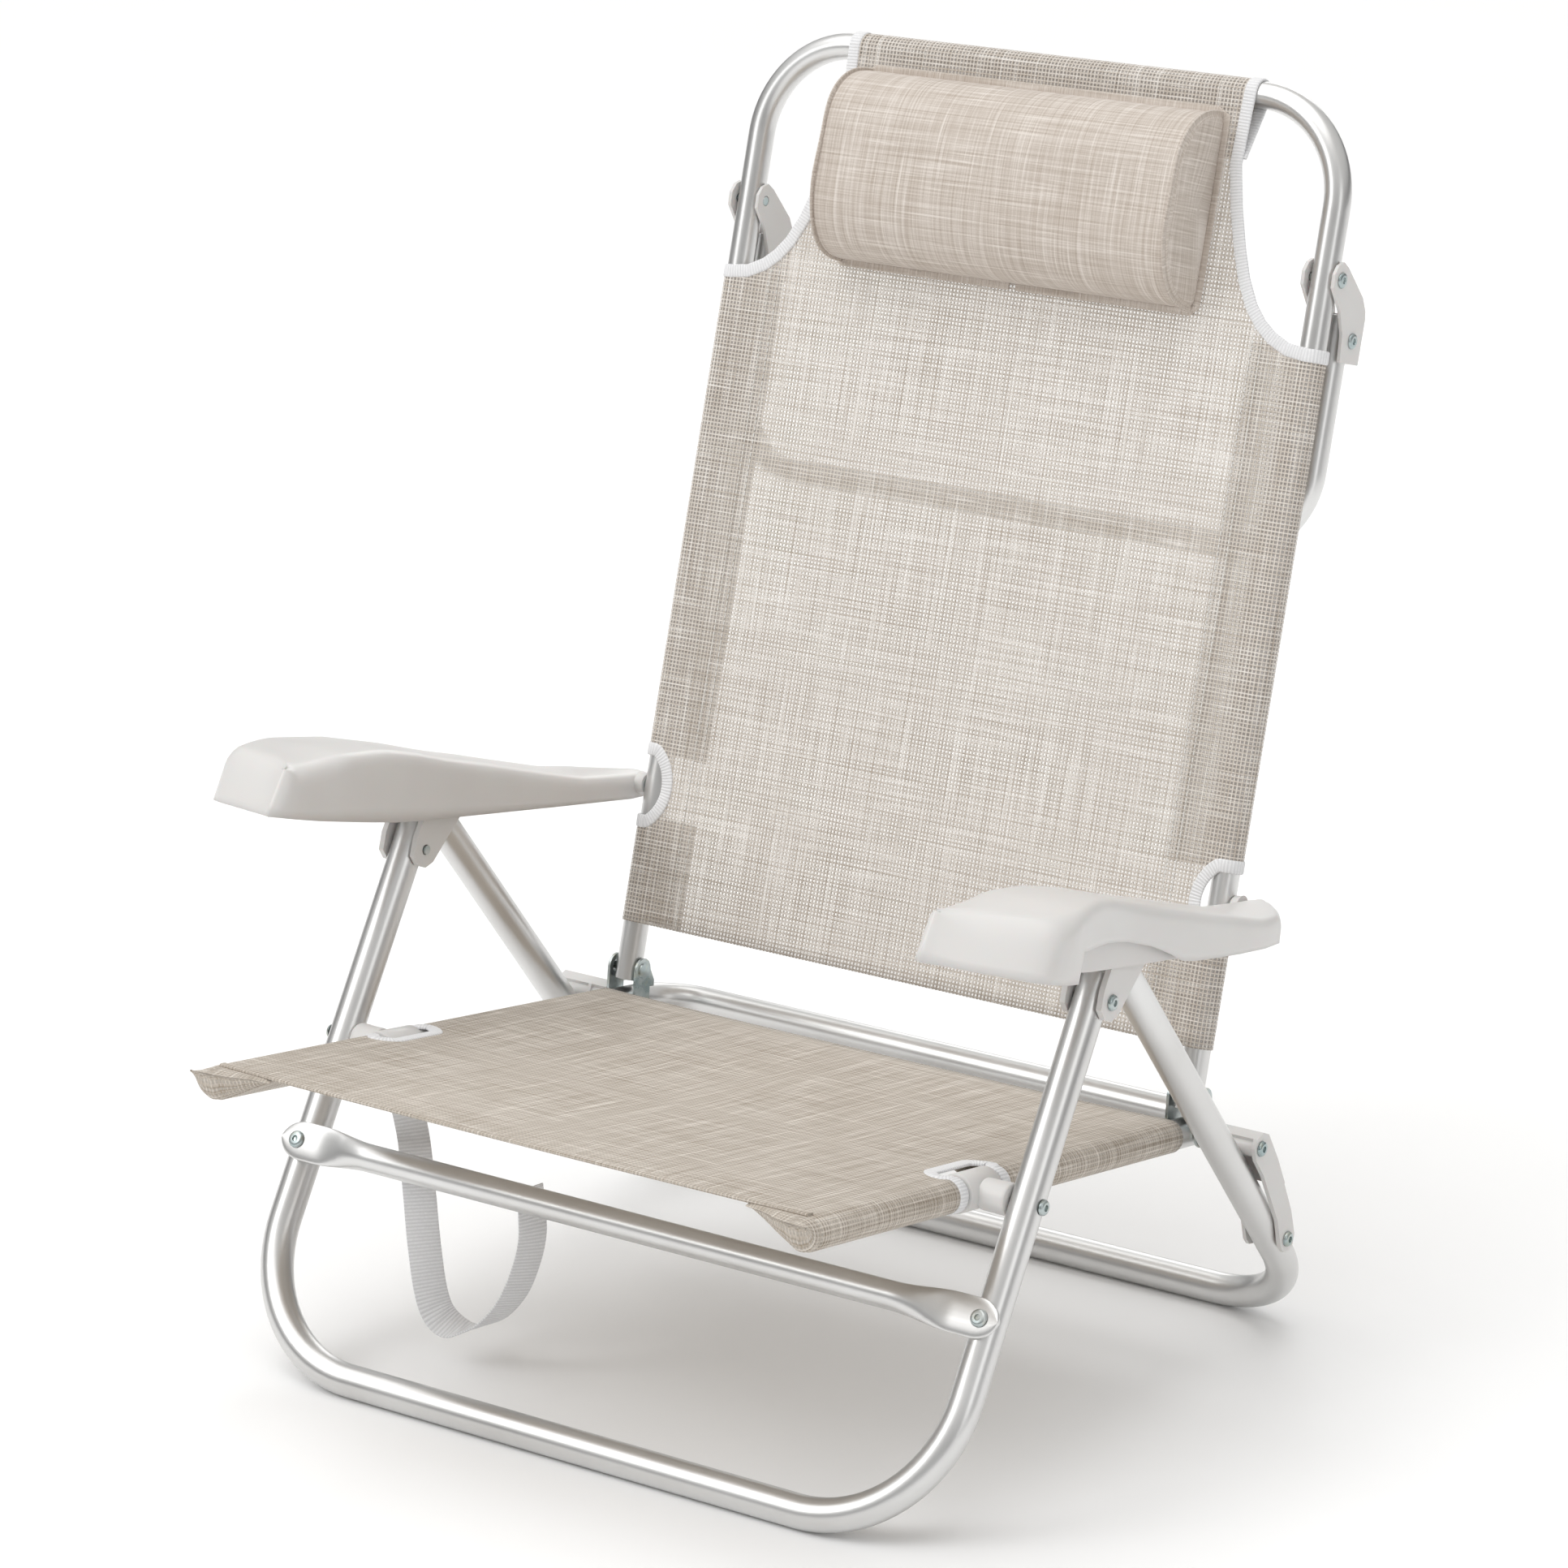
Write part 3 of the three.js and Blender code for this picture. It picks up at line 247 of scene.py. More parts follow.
def rounded_path(corners, radius):
    """Points and tangents along straight runs joined by arcs."""
    points, tangents = [corners[0]], [(corners[1] - corners[0]).normalized()]
    for before, corner, after in zip(corners, corners[1:], corners[2:]):
        inward, outward = (corner - before).normalized(), (after - corner).normalized()
        turn = inward.angle(outward)
        start = corner - inward * radius * math.tan(turn / 2)
        axis = inward.cross(outward).normalized()
        centre = start + axis.cross(inward) * radius
        for angle in spread(0, turn, BEND_STEPS):
            turned = Matrix.Rotation(angle, 3, axis)
            points.append(centre + turned @ (start - centre))
            tangents.append(turned @ inward)
    points.append(corners[-1])
    tangents.append((corners[-1] - corners[-2]).normalized())
    return points, tangents


def tube_mesh(name, corners, bend, radius, wall):
    """Round tube bent through corners in one plane, with a wall that shows at both open ends."""
    points, tangents = rounded_path(corners, bend * MM)
    plane = (corners[1] - corners[0]).cross(corners[2] - corners[1]).normalized()
    outer, inner, rim = radius * MM, (radius - wall) * MM, TUBE_RIM * MM

    def ring(point, tangent, r):
        side = tangent.cross(plane)
        return [point + plane * r * math.cos(a) + side * r * math.sin(a) for a in circle(TUBE_SIDES)]

    def mouth(point, tangent, inward):
        """Rings from inside an open end, over its rim, to the outside of the tube."""
        steps = ((TUBE_MOUTH * MM, inner), (0, inner), (0, outer - rim), (rim, outer))
        return [ring(point + tangent * inward * depth, tangent, r) for depth, r in steps]

    rows = mouth(points[0], tangents[0], 1)
    rows += [ring(p, t, outer) for p, t in zip(points[1:-1], tangents[1:-1])]
    rows += reversed(mouth(points[-1], tangents[-1], -1))
    lengths = path_lengths([row[0] for row in rows])
    return rod(name, rows, uvs=lambda r, i: (i * 2 * math.pi * outer / TUBE_SIDES, lengths[r]))


def u_tube(name, x, open_end, closed_end, bend, radius, wall):
    """Tube bent to a U between two side-view places, its legs at plus and minus x."""
    corners = [mm(-x, *open_end), mm(-x, *closed_end), mm(x, *closed_end), mm(x, *open_end)]
    return tube_mesh(name, corners, bend, radius, wall)


def lathe(name, origin, axis, profile, sides=32):
    """Solid of revolution: profile lines are (distance along the axis, radius), in millimetres."""
    axis = Vector(axis).normalized()
    side = axis.orthogonal().normalized()
    other = axis.cross(side)
    rings = []
    for distance, radius in profile:
        centre = origin + axis * distance * MM
        r = max(radius, 0.02) * MM
        rings.append([centre + side * r * math.cos(a) + other * r * math.sin(a) for a in circle(sides)])
    return rod(name, rings)


def ribbon(name, stations, width, thickness):
    """Flat band with rounded edges: stations are (point, surface normal)."""
    half, deep = width / 2 * MM, thickness / 2 * MM
    section = []
    for centre, start in ((1, -90), (-1, 90)):
        for angle in (math.radians(start + turn) for turn in spread(0, 180, 4)):
            section.append((centre * (half - deep) + deep * math.cos(angle), deep * math.sin(angle)))
    rows = []
    for i, (point, normal) in enumerate(stations):
        before, after = stations[max(i - 1, 0)][0], stations[min(i + 1, len(stations) - 1)][0]
        tangent = (after - before).normalized()
        across = tangent.cross(normal).normalized()
        lift = across.cross(tangent)
        rows.append([point + across * a + lift * b for a, b in section])
    lengths = path_lengths([point for point, _ in stations])
    return rod(name, rows, 60, lambda r, i: (i * 0.002, lengths[r]))


def join_pieces(name, pieces):
    """One object from several meshes that already sit in place."""
    bm = bmesh.new()
    for piece in pieces:
        bm.from_mesh(piece.data)
    for piece in pieces:
        bpy.data.objects.remove(piece)
    return from_bmesh(name, bm, 60)


def polished(node, name, bevel):
    """Copy of a CAD solid with its flat faces merged and its edges rounded, as moulded or stamped."""
    bm = bmesh.new()
    bm.from_mesh(frame["nodes"][node].data)
    bmesh.ops.remove_doubles(bm, verts=bm.verts, dist=1e-6)
    bmesh.ops.dissolve_limit(bm, angle_limit=math.radians(1.0), verts=bm.verts, edges=bm.edges)
    piece = from_bmesh(name, bm, 35)
    modifier = piece.modifiers.new("round_edges", "BEVEL")
    modifier.width = bevel * MM
    modifier.segments = 3
    modifier.limit_method = "ANGLE"
    modifier.angle_limit = math.radians(32)
    modifier.harden_normals = True
    return piece


# --- material helpers
class Shader:
    """A material under construction: nodes by short calls, ending in one Principled shader."""

    def __init__(self, name, **values):
        self.material = bpy.data.materials.new(name)
        self.material.use_nodes = True
        self.tree = self.material.node_tree
        self.shader = self.tree.nodes["Principled BSDF"]
        for socket, value in values.items():
            self.shader.inputs[socket.replace("_", " ")].default_value = value

    def node(self, kind, settings=None, **inputs):
        """New node with its properties from `settings` and its sockets from the keywords."""
        made = self.tree.nodes.new(kind)
        for key, value in (settings or {}).items():
            setattr(made, key, value)
        for key, value in inputs.items():
            self.feed(made.inputs[key.replace("_", " ")], value)
        return made

    def feed(self, socket, value):
        """Links a socket's output, or sets a plain value."""
        if isinstance(value, bpy.types.NodeSocket):
            self.tree.links.new(value, socket)
        else:
            socket.default_value = value

    def set(self, socket, value):
        self.feed(self.shader.inputs[socket], value)

    def noise(self, kind, stretch, detail, roughness=0.5):
        """Noise over the object or its UV map; `stretch` is its frequency along each axis."""
        source = self.node("ShaderNodeTexCoord").outputs[kind]
        place = self.node("ShaderNodeMapping", Vector=source, Scale=stretch).outputs[0]
        made = self.node("ShaderNodeTexNoise", Vector=place, Scale=1.0, Detail=detail, Roughness=roughness)
        return made.outputs["Fac"]

    def remap(self, value, low, high, to_low=0.0, to_high=1.0):
        limits = {"From_Min": low, "From_Max": high, "To_Min": to_low, "To_Max": to_high}
        return self.node("ShaderNodeMapRange", Value=value, **limits).outputs[0]

    def waves(self, direction, scale):
        """Bands over the UV map, `scale` of them in 0.314 metres."""
        uv = self.node("ShaderNodeTexCoord").outputs["UV"]
        made = self.node("ShaderNodeTexWave", {"bands_direction": direction}, Vector=uv, Scale=scale)
        return made.outputs["Fac"]

    def math(self, operation, a, b):
        made = self.node("ShaderNodeMath", {"operation": operation})
        self.feed(made.inputs[0], a)
        self.feed(made.inputs[1], b)
        return made.outputs[0]

    def mix(self, factor, a, b):
        made = self.node("ShaderNodeMix", {"data_type": "RGBA"})
        self.feed(made.inputs[0], factor)
        self.feed(made.inputs[6], a)
        self.feed(made.inputs[7], b)
        return made.outputs[2]

    def bump(self, height, strength, distance):
        made = self.node("ShaderNodeBump", Height=height, Strength=strength, Distance=distance)
        self.set("Normal", made.outputs[0])


GRID_WAVES, BINDING_WAVES, WEBBING_WAVES = 115.0, 150.0, 130.0


def aluminium():
    """Satin anodised tube: faint draw lines along the tube and soft handling marks."""
    s = Shader("satin_aluminium", Metallic=1.0)
    lines = s.noise("UV", (900, 6, 1), 3.0)
    marks = s.noise("Object", (9, 9, 9), 4.0)
    s.set("Base Color", s.mix(s.remap(marks, 0.35, 0.7), (0.66, 0.655, 0.645, 1), (0.74, 0.74, 0.735, 1)))
    s.set("Roughness", s.remap(s.math("ADD", lines, marks), 0.6, 1.4, 0.3, 0.38))
    s.bump(lines, 0.015, 0.0001)
    return s.material


def zinc():
    """Zinc plate with its uneven blue and straw passivation."""
    s = Shader("zinc_plate", Metallic=1.0)
    tint = s.noise("Object", (60, 60, 60), 3.0)
    warm = s.noise("Object", (140, 140, 140), 2.0)
    cool = s.mix(s.remap(tint, 0.35, 0.65), (0.34, 0.42, 0.43, 1), (0.56, 0.59, 0.58, 1))
    s.set("Base Color", s.mix(s.remap(warm, 0.55, 0.75, 0, 0.5), cool, (0.52, 0.50, 0.36, 1)))
    s.set("Roughness", s.remap(tint, 0.3, 0.7, 0.22, 0.4))
    s.bump(warm, 0.05, 0.0002)
    return s.material


def plastic():
    """Smooth white injection-moulded plastic with a very fine moulded texture."""
    s = Shader("white_plastic", Specular_IOR_Level=0.45, Subsurface_Weight=0.08, Subsurface_Scale=0.004)
    haze = s.noise("Object", (14, 14, 14), 2.0)
    grain = s.noise("Object", (2600, 2600, 2600), 1.0)
    s.set("Base Color", s.mix(s.remap(haze, 0.3, 0.7), (0.66, 0.645, 0.63, 1), (0.69, 0.68, 0.665, 1)))
    s.set("Roughness", s.remap(haze, 0.3, 0.7, 0.3, 0.38))
    s.bump(grain, 0.05, 0.0001)
    return s.material


def weave(name, dark, light, open_share):
    """Plain-woven sling cloth: uneven slub threads both ways over a fine grid with small openings."""
    s = Shader(name, Roughness=0.8, Specular_IOR_Level=0.25, Sheen_Weight=0.15)
    weft = s.noise("UV", (9, 760, 1), 2.0, 0.65)
    warp = s.noise("UV", (760, 8, 1), 2.0, 0.65)
    weft_slub = s.noise("UV", (15, 480, 1), 2.0, 0.6)
    warp_slub = s.noise("UV", (480, 13, 1), 2.0, 0.6)
    lines = s.math("ADD", s.remap(weft, 0.3, 0.7), s.remap(warp, 0.3, 0.7))
    slubs = s.math("ADD", s.remap(weft_slub, 0.57, 0.78), s.remap(warp_slub, 0.57, 0.78))
    shade = s.remap(s.math("ADD", weft_slub, warp_slub), 0.75, 1.2, -0.08, 0.08)
    tone = s.math("ADD", s.math("MULTIPLY", lines, 0.5), s.math("MULTIPLY", slubs, 0.45))
    tone = s.remap(s.math("ADD", tone, shade), 0.12, 0.95)
    s.set("Base Color", s.mix(tone, dark, light))
    threads = s.math("MAXIMUM", s.waves("Y", GRID_WAVES), s.waves("X", GRID_WAVES))
    s.bump(threads, 0.4, 0.0004)
    if open_share:
        hole = s.remap(threads, 0.4, 1.0, 1.0 - open_share, 1.0)
        s.set("Alpha", s.math("MAXIMUM", hole, s.remap(slubs, 0.2, 1.2, 1.0 - open_share, 1.0)))
    return s.material


def white_tape(name, rib):
    """Narrow woven tape with ribs across its length."""
    s = Shader(name, Roughness=0.75, Specular_IOR_Level=0.3, Sheen_Weight=0.2)
    ribs = s.waves("Y", rib)
    fuzz = s.noise("Object", (900, 900, 900), 2.0)
    shade = s.math("MULTIPLY", ribs, fuzz)
    s.set("Base Color", s.mix(s.remap(shade, 0.0, 0.5), (0.72, 0.72, 0.73, 1), (0.87, 0.87, 0.88, 1)))
    s.bump(ribs, 0.6, 0.0004)
    return s.material


def thread():
    s = Shader("stitch_thread", Roughness=0.6)
    twist = s.noise("Object", (2500, 2500, 2500), 1.0)
    s.set("Base Color", s.mix(twist, (0.75, 0.74, 0.71, 1), (0.9, 0.89, 0.87, 1)))
    return s.material


# Each look is its slot and its material.
ALUMINIUM, ZINC = ("aluminium_tube", aluminium()), ("zinc_fittings", zinc())
PLASTIC = ("white_plastic", plastic())
BACK_CLOTH = ("sling_fabric", weave("back_mesh", (0.47, 0.405, 0.34, 1), (0.84, 0.80, 0.755, 1), 0.74))
SEAT_CLOTH = ("sling_fabric", weave("seat_mesh", (0.33, 0.27, 0.205, 1), (0.74, 0.685, 0.62, 1), 0.3))
PILLOW_CLOTH = ("sling_fabric", weave("pillow_cloth", (0.44, 0.37, 0.31, 1), (0.74, 0.68, 0.625, 1), 0.0))
BINDING = ("sling_fabric", white_tape("edge_binding", BINDING_WAVES))
WEBBING = ("strap_webbing", white_tape("webbing", WEBBING_WAVES))
THREAD = ("sling_fabric", thread())


# --- metal frame
def metal_tubes():
    seat_ends = [go(SEAT_PIVOT, SEAT_BACKWARD, along) for along in (SEAT_FRONT, SEAT_REAR)]
    rear_top = go(REAR_FLOOR, REAR_UP, REAR_TOP)
    front_top = go(LEG_PIVOT, FRONT_UP, FRONT_TOP)
    back_ends = [go(BACK_HINGE, BACK_UP, along) for along in (-BACK_FOOT, BACK_LENGTH)]
    stand_ends = [go(BACK_HINGE, BACK_UP, along, -STAND_OFFSET) for along in (STAND_TOP, STAND_FOOT)]
    tubes = (
        ("front_leg_frame", "front_legs", LEG_X, front_top, FRONT_FLOOR, FRONT_BEND, LEG_R, LEG_WALL),
        ("rear_leg_frame", "rear_legs", LEG_X, rear_top, REAR_FLOOR, REAR_BEND, LEG_R, LEG_WALL),
        ("seat_frame", "seat", SEAT_X, *seat_ends, SEAT_BEND, SEAT_R, THIN_WALL),
        ("back_frame", "back", BACK_X, *back_ends, BACK_BEND, BACK_R, THIN_WALL),
        ("stand_frame", "stand", BACK_X, *stand_ends, STAND_BEND, BACK_R, THIN_WALL),
    )
    for node, body, x, open_end, closed_end, bend, radius, wall in tubes:
        tube = u_tube(node + "_tube", x, open_end, closed_end, bend, radius, wall)
        fit(tube, body, ALUMINIUM, node)


def bar_sections():
    """(x, half height, half depth, offset) along the right half of the cross bar."""
    xs = spread(0, 200, 4) + spread(204, 252, 16) + spread(255, 270, 5) + [273, 276, 278.5, 280.5, 282, 283]
    sections = []
    for x in xs:
        press = smoothstep((x - PRESS_START) / PRESS_LENGTH)
        tip = max(0.0, (x - PLATE_TIP_START) / PLATE_TIP_LENGTH)
        tall = (BAR_R + (PLATE_HALF_WIDTH - BAR_R) * press) * math.sqrt(max(1 - tip * tip, 0.02))
        deep = BAR_R + (PLATE_HALF_THICK - BAR_R) * press
        sections.append((x, tall, deep, BAR_OFFSET + (PLATE_OFFSET - BAR_OFFSET) * press))
    return sections


def cross_bar():
    """Round bar whose ends are pressed flat into rounded plates."""
    right = bar_sections()
    left = [(-x, *rest) for x, *rest in reversed(right[1:])]
    rows = []
    for x, tall, deep, offset in left + right:
        centre = go(FRONT_FLOOR, FRONT_UP, BAR_ALONG, offset)
        square = 1.0 if deep > 5 else 0.8
        row = []
        for a in circle(TUBE_SIDES):
            c, s = math.cos(a), math.sin(a)
            row.append(mm(x, *go(centre, FRONT_UP, tall * math.copysign(abs(c) ** square, c), deep * s)))
        rows.append(row)
    bar = rod("front_crossbar_tube", rows, 50, lambda r, i: (i * 0.0015, rows[r][0].x))
    fit(bar, "front_legs", ALUMINIUM, "front_crossbar")


# --- fasteners
# (node stem, body, shank radius, head height, whether it has a head on both ends)
FASTENERS = (
    ("seat_pivot_bolt", "front_legs", 3, 2.4, False),
    ("clevis_screw", "rear_legs", 3, 2.4, False),
    ("link_high_screw", "links", 3, 2.4, False),
    ("link_low_screw", "links", 3, 2.4, False),
    ("stand_pivot_screw", "stand", 3, 1.6, False),
    ("stand_tube_screw", "stand", 3, 1.6, False),
    ("hinge_rivet_low", "seat", 2.6, 1.4, True),
    ("hinge_rivet_high", "back_hinges", 2.6, 1.4, True),
)


def socket_head(height, radius):
    """Profile of a low domed head with a round-bottomed socket in its face."""
    dome = [(height * math.sin(a), radius * (0.62 + 0.38 * math.cos(a))) for a in spread(0, math.pi / 2, 5)]
    return dome + [(height, 2.1), (height * 0.45, 1.8), (height * 0.35, 0.3)]


def cross_fastener(node, body, shank, head, both_heads):
    """Screw or rivet along X that fills the CAD node's length, its head on the outer side."""
    low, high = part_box(node)
    outward = 1 if low.x + high.x > 0 else -1
    length = (high.x - low.x) / MM
    radius = min((high.z - low.z) / 2 / MM, FASTENER_HEAD_R)
    inner_end = (low.x if outward > 0 else high.x) / MM
    profile = [(0, shank), (length - head, shank), (length - head, radius)]
    if both_heads:
        profile = [(0, radius * 0.5), (0.4, radius * 0.9), (head, radius), (head, shank)] + profile[1:]
    profile += [(length - head + d, r) for d, r in socket_head(head, radius)]
    piece = lathe(node + "_turned", mm(inner_end, *middle(node)), (outward, 0, 0), profile)
    fit(piece, body, ZINC, node)


def crossbar_screw(word, side):
    start = mm(side * LEG_X, *go(FRONT_FLOOR, FRONT_UP, BAR_ALONG, BAR_SCREW_FROM))
    face = PLATE_OFFSET + 2 - BAR_SCREW_FROM
    head = [(face + d, r) for d, r in socket_head(BAR_SCREW_HEAD, BAR_SCREW_HEAD_R)]
    profile = [(0, 3), (face, 3), (face, BAR_SCREW_HEAD_R)] + head
    screw = lathe(f"crossbar_screw_{word}_turned", start, (0, -FRONT_UP[1], FRONT_UP[0]), profile)
    fit(screw, "front_legs", ZINC, f"crossbar_screw_{word}")


def armrest_pin(word, side):
    low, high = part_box(f"armrest_pin_{word}")
    inner_end = (low.x if side > 0 else high.x) / MM
    length = (high.x - low.x) / MM
    profile = [(0, 3.4), (0.6, 4), (length - 0.6, 4), (length, 3.4)]
    pin = lathe(f"armrest_pin_{word}_turned", mm(inner_end, *ARM_PIVOT), (side, 0, 0), profile)
    fit(pin, "arm_pins", ZINC, f"armrest_pin_{word}")


def fasteners():
    for word, side in SIDES:
        for stem, body, shank, head, both_heads in FASTENERS:
            cross_fastener(f"{stem}_{word}", body, shank, head, both_heads)
        crossbar_screw(word, side)
        armrest_pin(word, side)


# --- plastic and sheet-metal fittings
def fittings():
    moulded = (("leg_clevis", "rear_legs", 0.9), ("rear_link", "links", 0.9), ("stand_bracket", "stand", 0.8),
               ("seat_tube_cap", "seat", 0.5))
    for word, side in SIDES:
        for stem, body, bevel in moulded:
            node = f"{stem}_{word}"
            fit(polished(node, node + "_moulded", bevel), body, PLASTIC, node)
        node = f"hinge_bracket_{word}"
        fit(polished(node, node + "_stamped", 0.5), "seat", ZINC, node)
        seat_spacer(word, side)


def seat_spacer(word, side):
    """Collar on the seat tube with a boss that flares where it meets the leg."""
    reach = LEG_X - LEG_R - 0.3 - SEAT_X
    profile = [(SEAT_R + 1.2, 10.2), (13, 10.4), (reach - 10, 10.4), (reach - 5, 10.6), (reach - 2.5, 10.6),
               (reach - 0.6, 10.5), (reach, 9.9), (reach, 3.6), (SEAT_R + 1.2, 3.6)]
    boss = lathe(f"spacer_boss_{word}", mm(side * SEAT_X, *SEAT_PIVOT), (side, 0, 0), profile, 40)
    collar = lathe(
        f"spacer_collar_{word}",
        mm(side * SEAT_X, *SEAT_PIVOT),
        (0, *SEAT_BACKWARD),
        [(-17, 10.6), (-17, 12.2), (-16.4, 12.6), (16.4, 12.6), (17, 12.2), (17, 10.6)],
        40,
    )
    spacer = join_pieces(f"seat_pivot_spacer_{word}_moulded", [boss, collar])
    fit(spacer, "seat", PLASTIC, f"seat_pivot_spacer_{word}")


# --- armrests
# Tables along the arm: (forward from the arm pivot, height or half width of the chair), in millimetres.
ARM_FORWARD = aim(180 - 9.37)
ARM_TOP = ((-13, 3), (-8, 6), (20, 6.5), (60, 8), (117, 17), (165, 25), (211, 32), (255, 40),
           (285, 43.5), (320, 43.5), (350, 42), (375, 39.5), (396, 37))
ARM_BOTTOM = ((-13, -6), (-8, -10), (10, -11), (100, -9.5), (200, -7.5), (263, -6), (300, -3),
              (350, 2), (396, 8))
ARM_OUTER = ((-13, 250), (-9, 262), (12, 280), (34, 293), (62, 299), (110, 302), (165, 300), (205, 298),
             (238, 299), (268, 305), (296, 314), (318, 321), (338, 324.5), (352, 325.5), (361, 324.5),
             (367, 321), (371, 316), (374, 308.5), (389, 267.5), (392.5, 259), (394.5, 255), (396, 252.5))
ARM_NOSE_INNER = ((376, 243), (384, 243.8), (390, 245.8), (394, 248.5), (396, 251))
FINGER_EDGE = ((140, -20), (150, -14), (172, -4), (200, 5), (235, 12), (272, 16), (322, 19), (330, -20))
ARM_STATIONS = (-13, -11.5, -9, -5, 0, 10, 22, 34, 48, 62, 80, 100, 125, 140, 146, 152, 165, 180, 200, 220,
                235, 250, 268, 284, 296, 308, 318, 322, 326, 330, 334, 340, 346, 352, 356.5, 361, 364, 367,
                369.5, 372, 376, 380, 384, 387, 389.5, 391.5, 393.5, 395, 396)
NOSE_START, NOSE_LENGTH, NOSE_SETBACK = 318, 40, 14
ARM_CORNER, NOSE_CORNER, ARM_CROWN, ARM_WALL = 9.0, 13.0, 1.2, 2.6
RAIL_SPAN, RAIL_SIDES = (120, 300), (289, 291.4)


def arm_point(side, x, forward, up):
    """Place on the arm; towards the nose the upper part leans back."""
    top, bottom = lerp_table(ARM_TOP, forward), lerp_table(ARM_BOTTOM, forward)
    share = min(max((up - bottom) / (top - bottom), 0), 1.1)
    lean = NOSE_SETBACK * share * smoothstep((forward - NOSE_START) / NOSE_LENGTH)
    return mm(side * x, *go(ARM_PIVOT, ARM_FORWARD, forward - lean, -up))


def arm_section(forward):
    """Points (x, up) of the arm's skin, from the foot of its inner wall over the top to the outer foot."""
    inner, outer = lerp_table(ARM_NOSE_INNER, forward), lerp_table(ARM_OUTER, forward)
    top, bottom = lerp_table(ARM_TOP, forward), lerp_table(ARM_BOTTOM, forward)
    outer_foot = max(bottom, lerp_table(FINGER_EDGE, forward))
    soft = ARM_CORNER + (NOSE_CORNER - ARM_CORNER) * smoothstep((forward - NOSE_START) / NOSE_LENGTH)
    corner = max(min(soft, (top - bottom) * 0.42, (outer - inner) * 0.42), 0.4)
    quarter = spread(0, math.pi / 2, 5)
    span = outer - inner - 2 * corner
    points = [(inner, bottom + (top - corner - bottom) * t) for t in (0, 0.25, 0.5, 0.75)]
    points += [(inner + corner - corner * math.cos(a), top - corner + corner * math.sin(a)) for a in quarter]
    for t in (0.25, 0.5, 0.75):
        points.append((inner + corner + span * t, top + ARM_CROWN * math.sin(math.pi * t)))
    points += [(outer - corner + corner * math.sin(a), top - corner + corner * math.cos(a)) for a in quarter]
    points += [(outer, outer_foot + (top - corner - outer_foot) * t) for t in (0.75, 0.5, 0.25, 0)]
    return points


def arm_shell(word, side):
    """Moulded skin of the arm, open underneath."""
    bm = bmesh.new()
    rows = [[arm_point(side, x, f, up) for x, up in arm_section(f)] for f in ARM_STATIONS]
    verts = add_strip(bm, rows, uvs=lambda r, i: (i * 0.004, ARM_STATIONS[r] * MM))
    bm.faces.new(verts[0])
    bm.faces.new(list(reversed(verts[-1])))
    shell = from_bmesh(f"armrest_{word}_shell", bm, 60)
    thicken(shell, ARM_WALL, -1)
    return shell


def arm_rail(word, side):
    """Rib under the arm that the leg's pin catches on."""
    rows = []
    for forward in spread(*RAIL_SPAN, 18):
        foot, head = lerp_table(ARM_BOTTOM, forward) + 0.5, lerp_table(ARM_TOP, forward) - 3
        near, far = RAIL_SIDES
        outline = ((near, foot), (near, head), (far, head), (far, foot))
        rows.append([arm_point(side, x, forward, up) for x, up in outline])
    return rod(f"armrest_{word}_rail", rows, 30)


def armrest(word, side):
    shell = arm_shell(word, side)
    rail = arm_rail(word, side)
    boss = lathe(
        f"armrest_{word}_boss",
        mm(side * (BACK_X + BACK_R + 0.4), *ARM_PIVOT),
        (side, 0, 0),
        [(0, 4.5), (0, 6.6), (0.6, 7.2), (4, 7.6), (6, 8.2), (6, 4.5)],
        36,
    )
    fit(shell, "armrests", PLASTIC, f"armrest_{word}")
    for piece in (rail, boss):
        fit(piece, "armrests", PLASTIC)


# --- sling cloth
PANEL_COLUMNS = 64
SLEEVE_STEPS = 22
NECK_ROWS = (1.5, 4, 7, 10, 14, 19, 24, 32, 40, 49, 58, 71, 84, 98, 112, 130, 147)
BINDING_INSET = BINDING_WIDTH / 2 - 1
SEAT_CLOTH_R, BACK_CLOTH_R = SEAT_R + CLOTH_LIFT, BACK_R + CLOTH_LIFT
SEAT_FRONT_BOW, SEAT_REAR_BOW, SEAT_DIP, BACK_DIP = 4.0, 6.0, 3.0, 2.5
ARM_ALONG = math.hypot(ARM_PIVOT[0] - BACK_HINGE[0], ARM_PIVOT[1] - BACK_HINGE[1])
ARM_NOTCH_HALF = math.sqrt(ARM_NOTCH_R ** 2 - ARM_NOTCH_OUT ** 2)


def sleeve_profile(tube_x, radius):
    """(x, normal) from the panel's edge over the tube, round it and back to the hem's end."""
    lean = 2 * math.atan2(radius, HEM)
    end = math.pi / 2 - math.pi - lean
    angles = spread(math.pi / 2, end, SLEEVE_STEPS)
    points = [(tube_x + radius * math.cos(a), radius * math.sin(a)) for a in angles]
    foot, tip = points[-1], (tube_x - HEM, radius - 1.1)
    for t in spread(0, 1, 8)[1:]:
        points.append((foot[0] + (tip[0] - foot[0]) * t, foot[1] + (tip[1] - foot[1]) * t))
    return points


def add_cloth(bm, strip, keeps):
    """Quads between neighbouring (points, us, v) rows of cloth, wherever `keeps` says there is cloth."""
    layer = bm.loops.layers.uv.verify()
    for (points, us, v), (next_points, next_us, next_v) in zip(strip, strip[1:]):
        if not keeps(v, next_v):
            continue
        for i in range(len(points) - 1):
            quad = (points[i], points[i + 1], next_points[i + 1], next_points[i])
            flat = ((us[i], v), (us[i + 1], v), (next_us[i + 1], next_v), (next_us[i], next_v))
            face = bm.faces.new([bm.verts.new(p) for p in quad])
            for loop, (across, along) in zip(face.loops, flat):
                loop[layer].uv = (across * MM, along * MM)


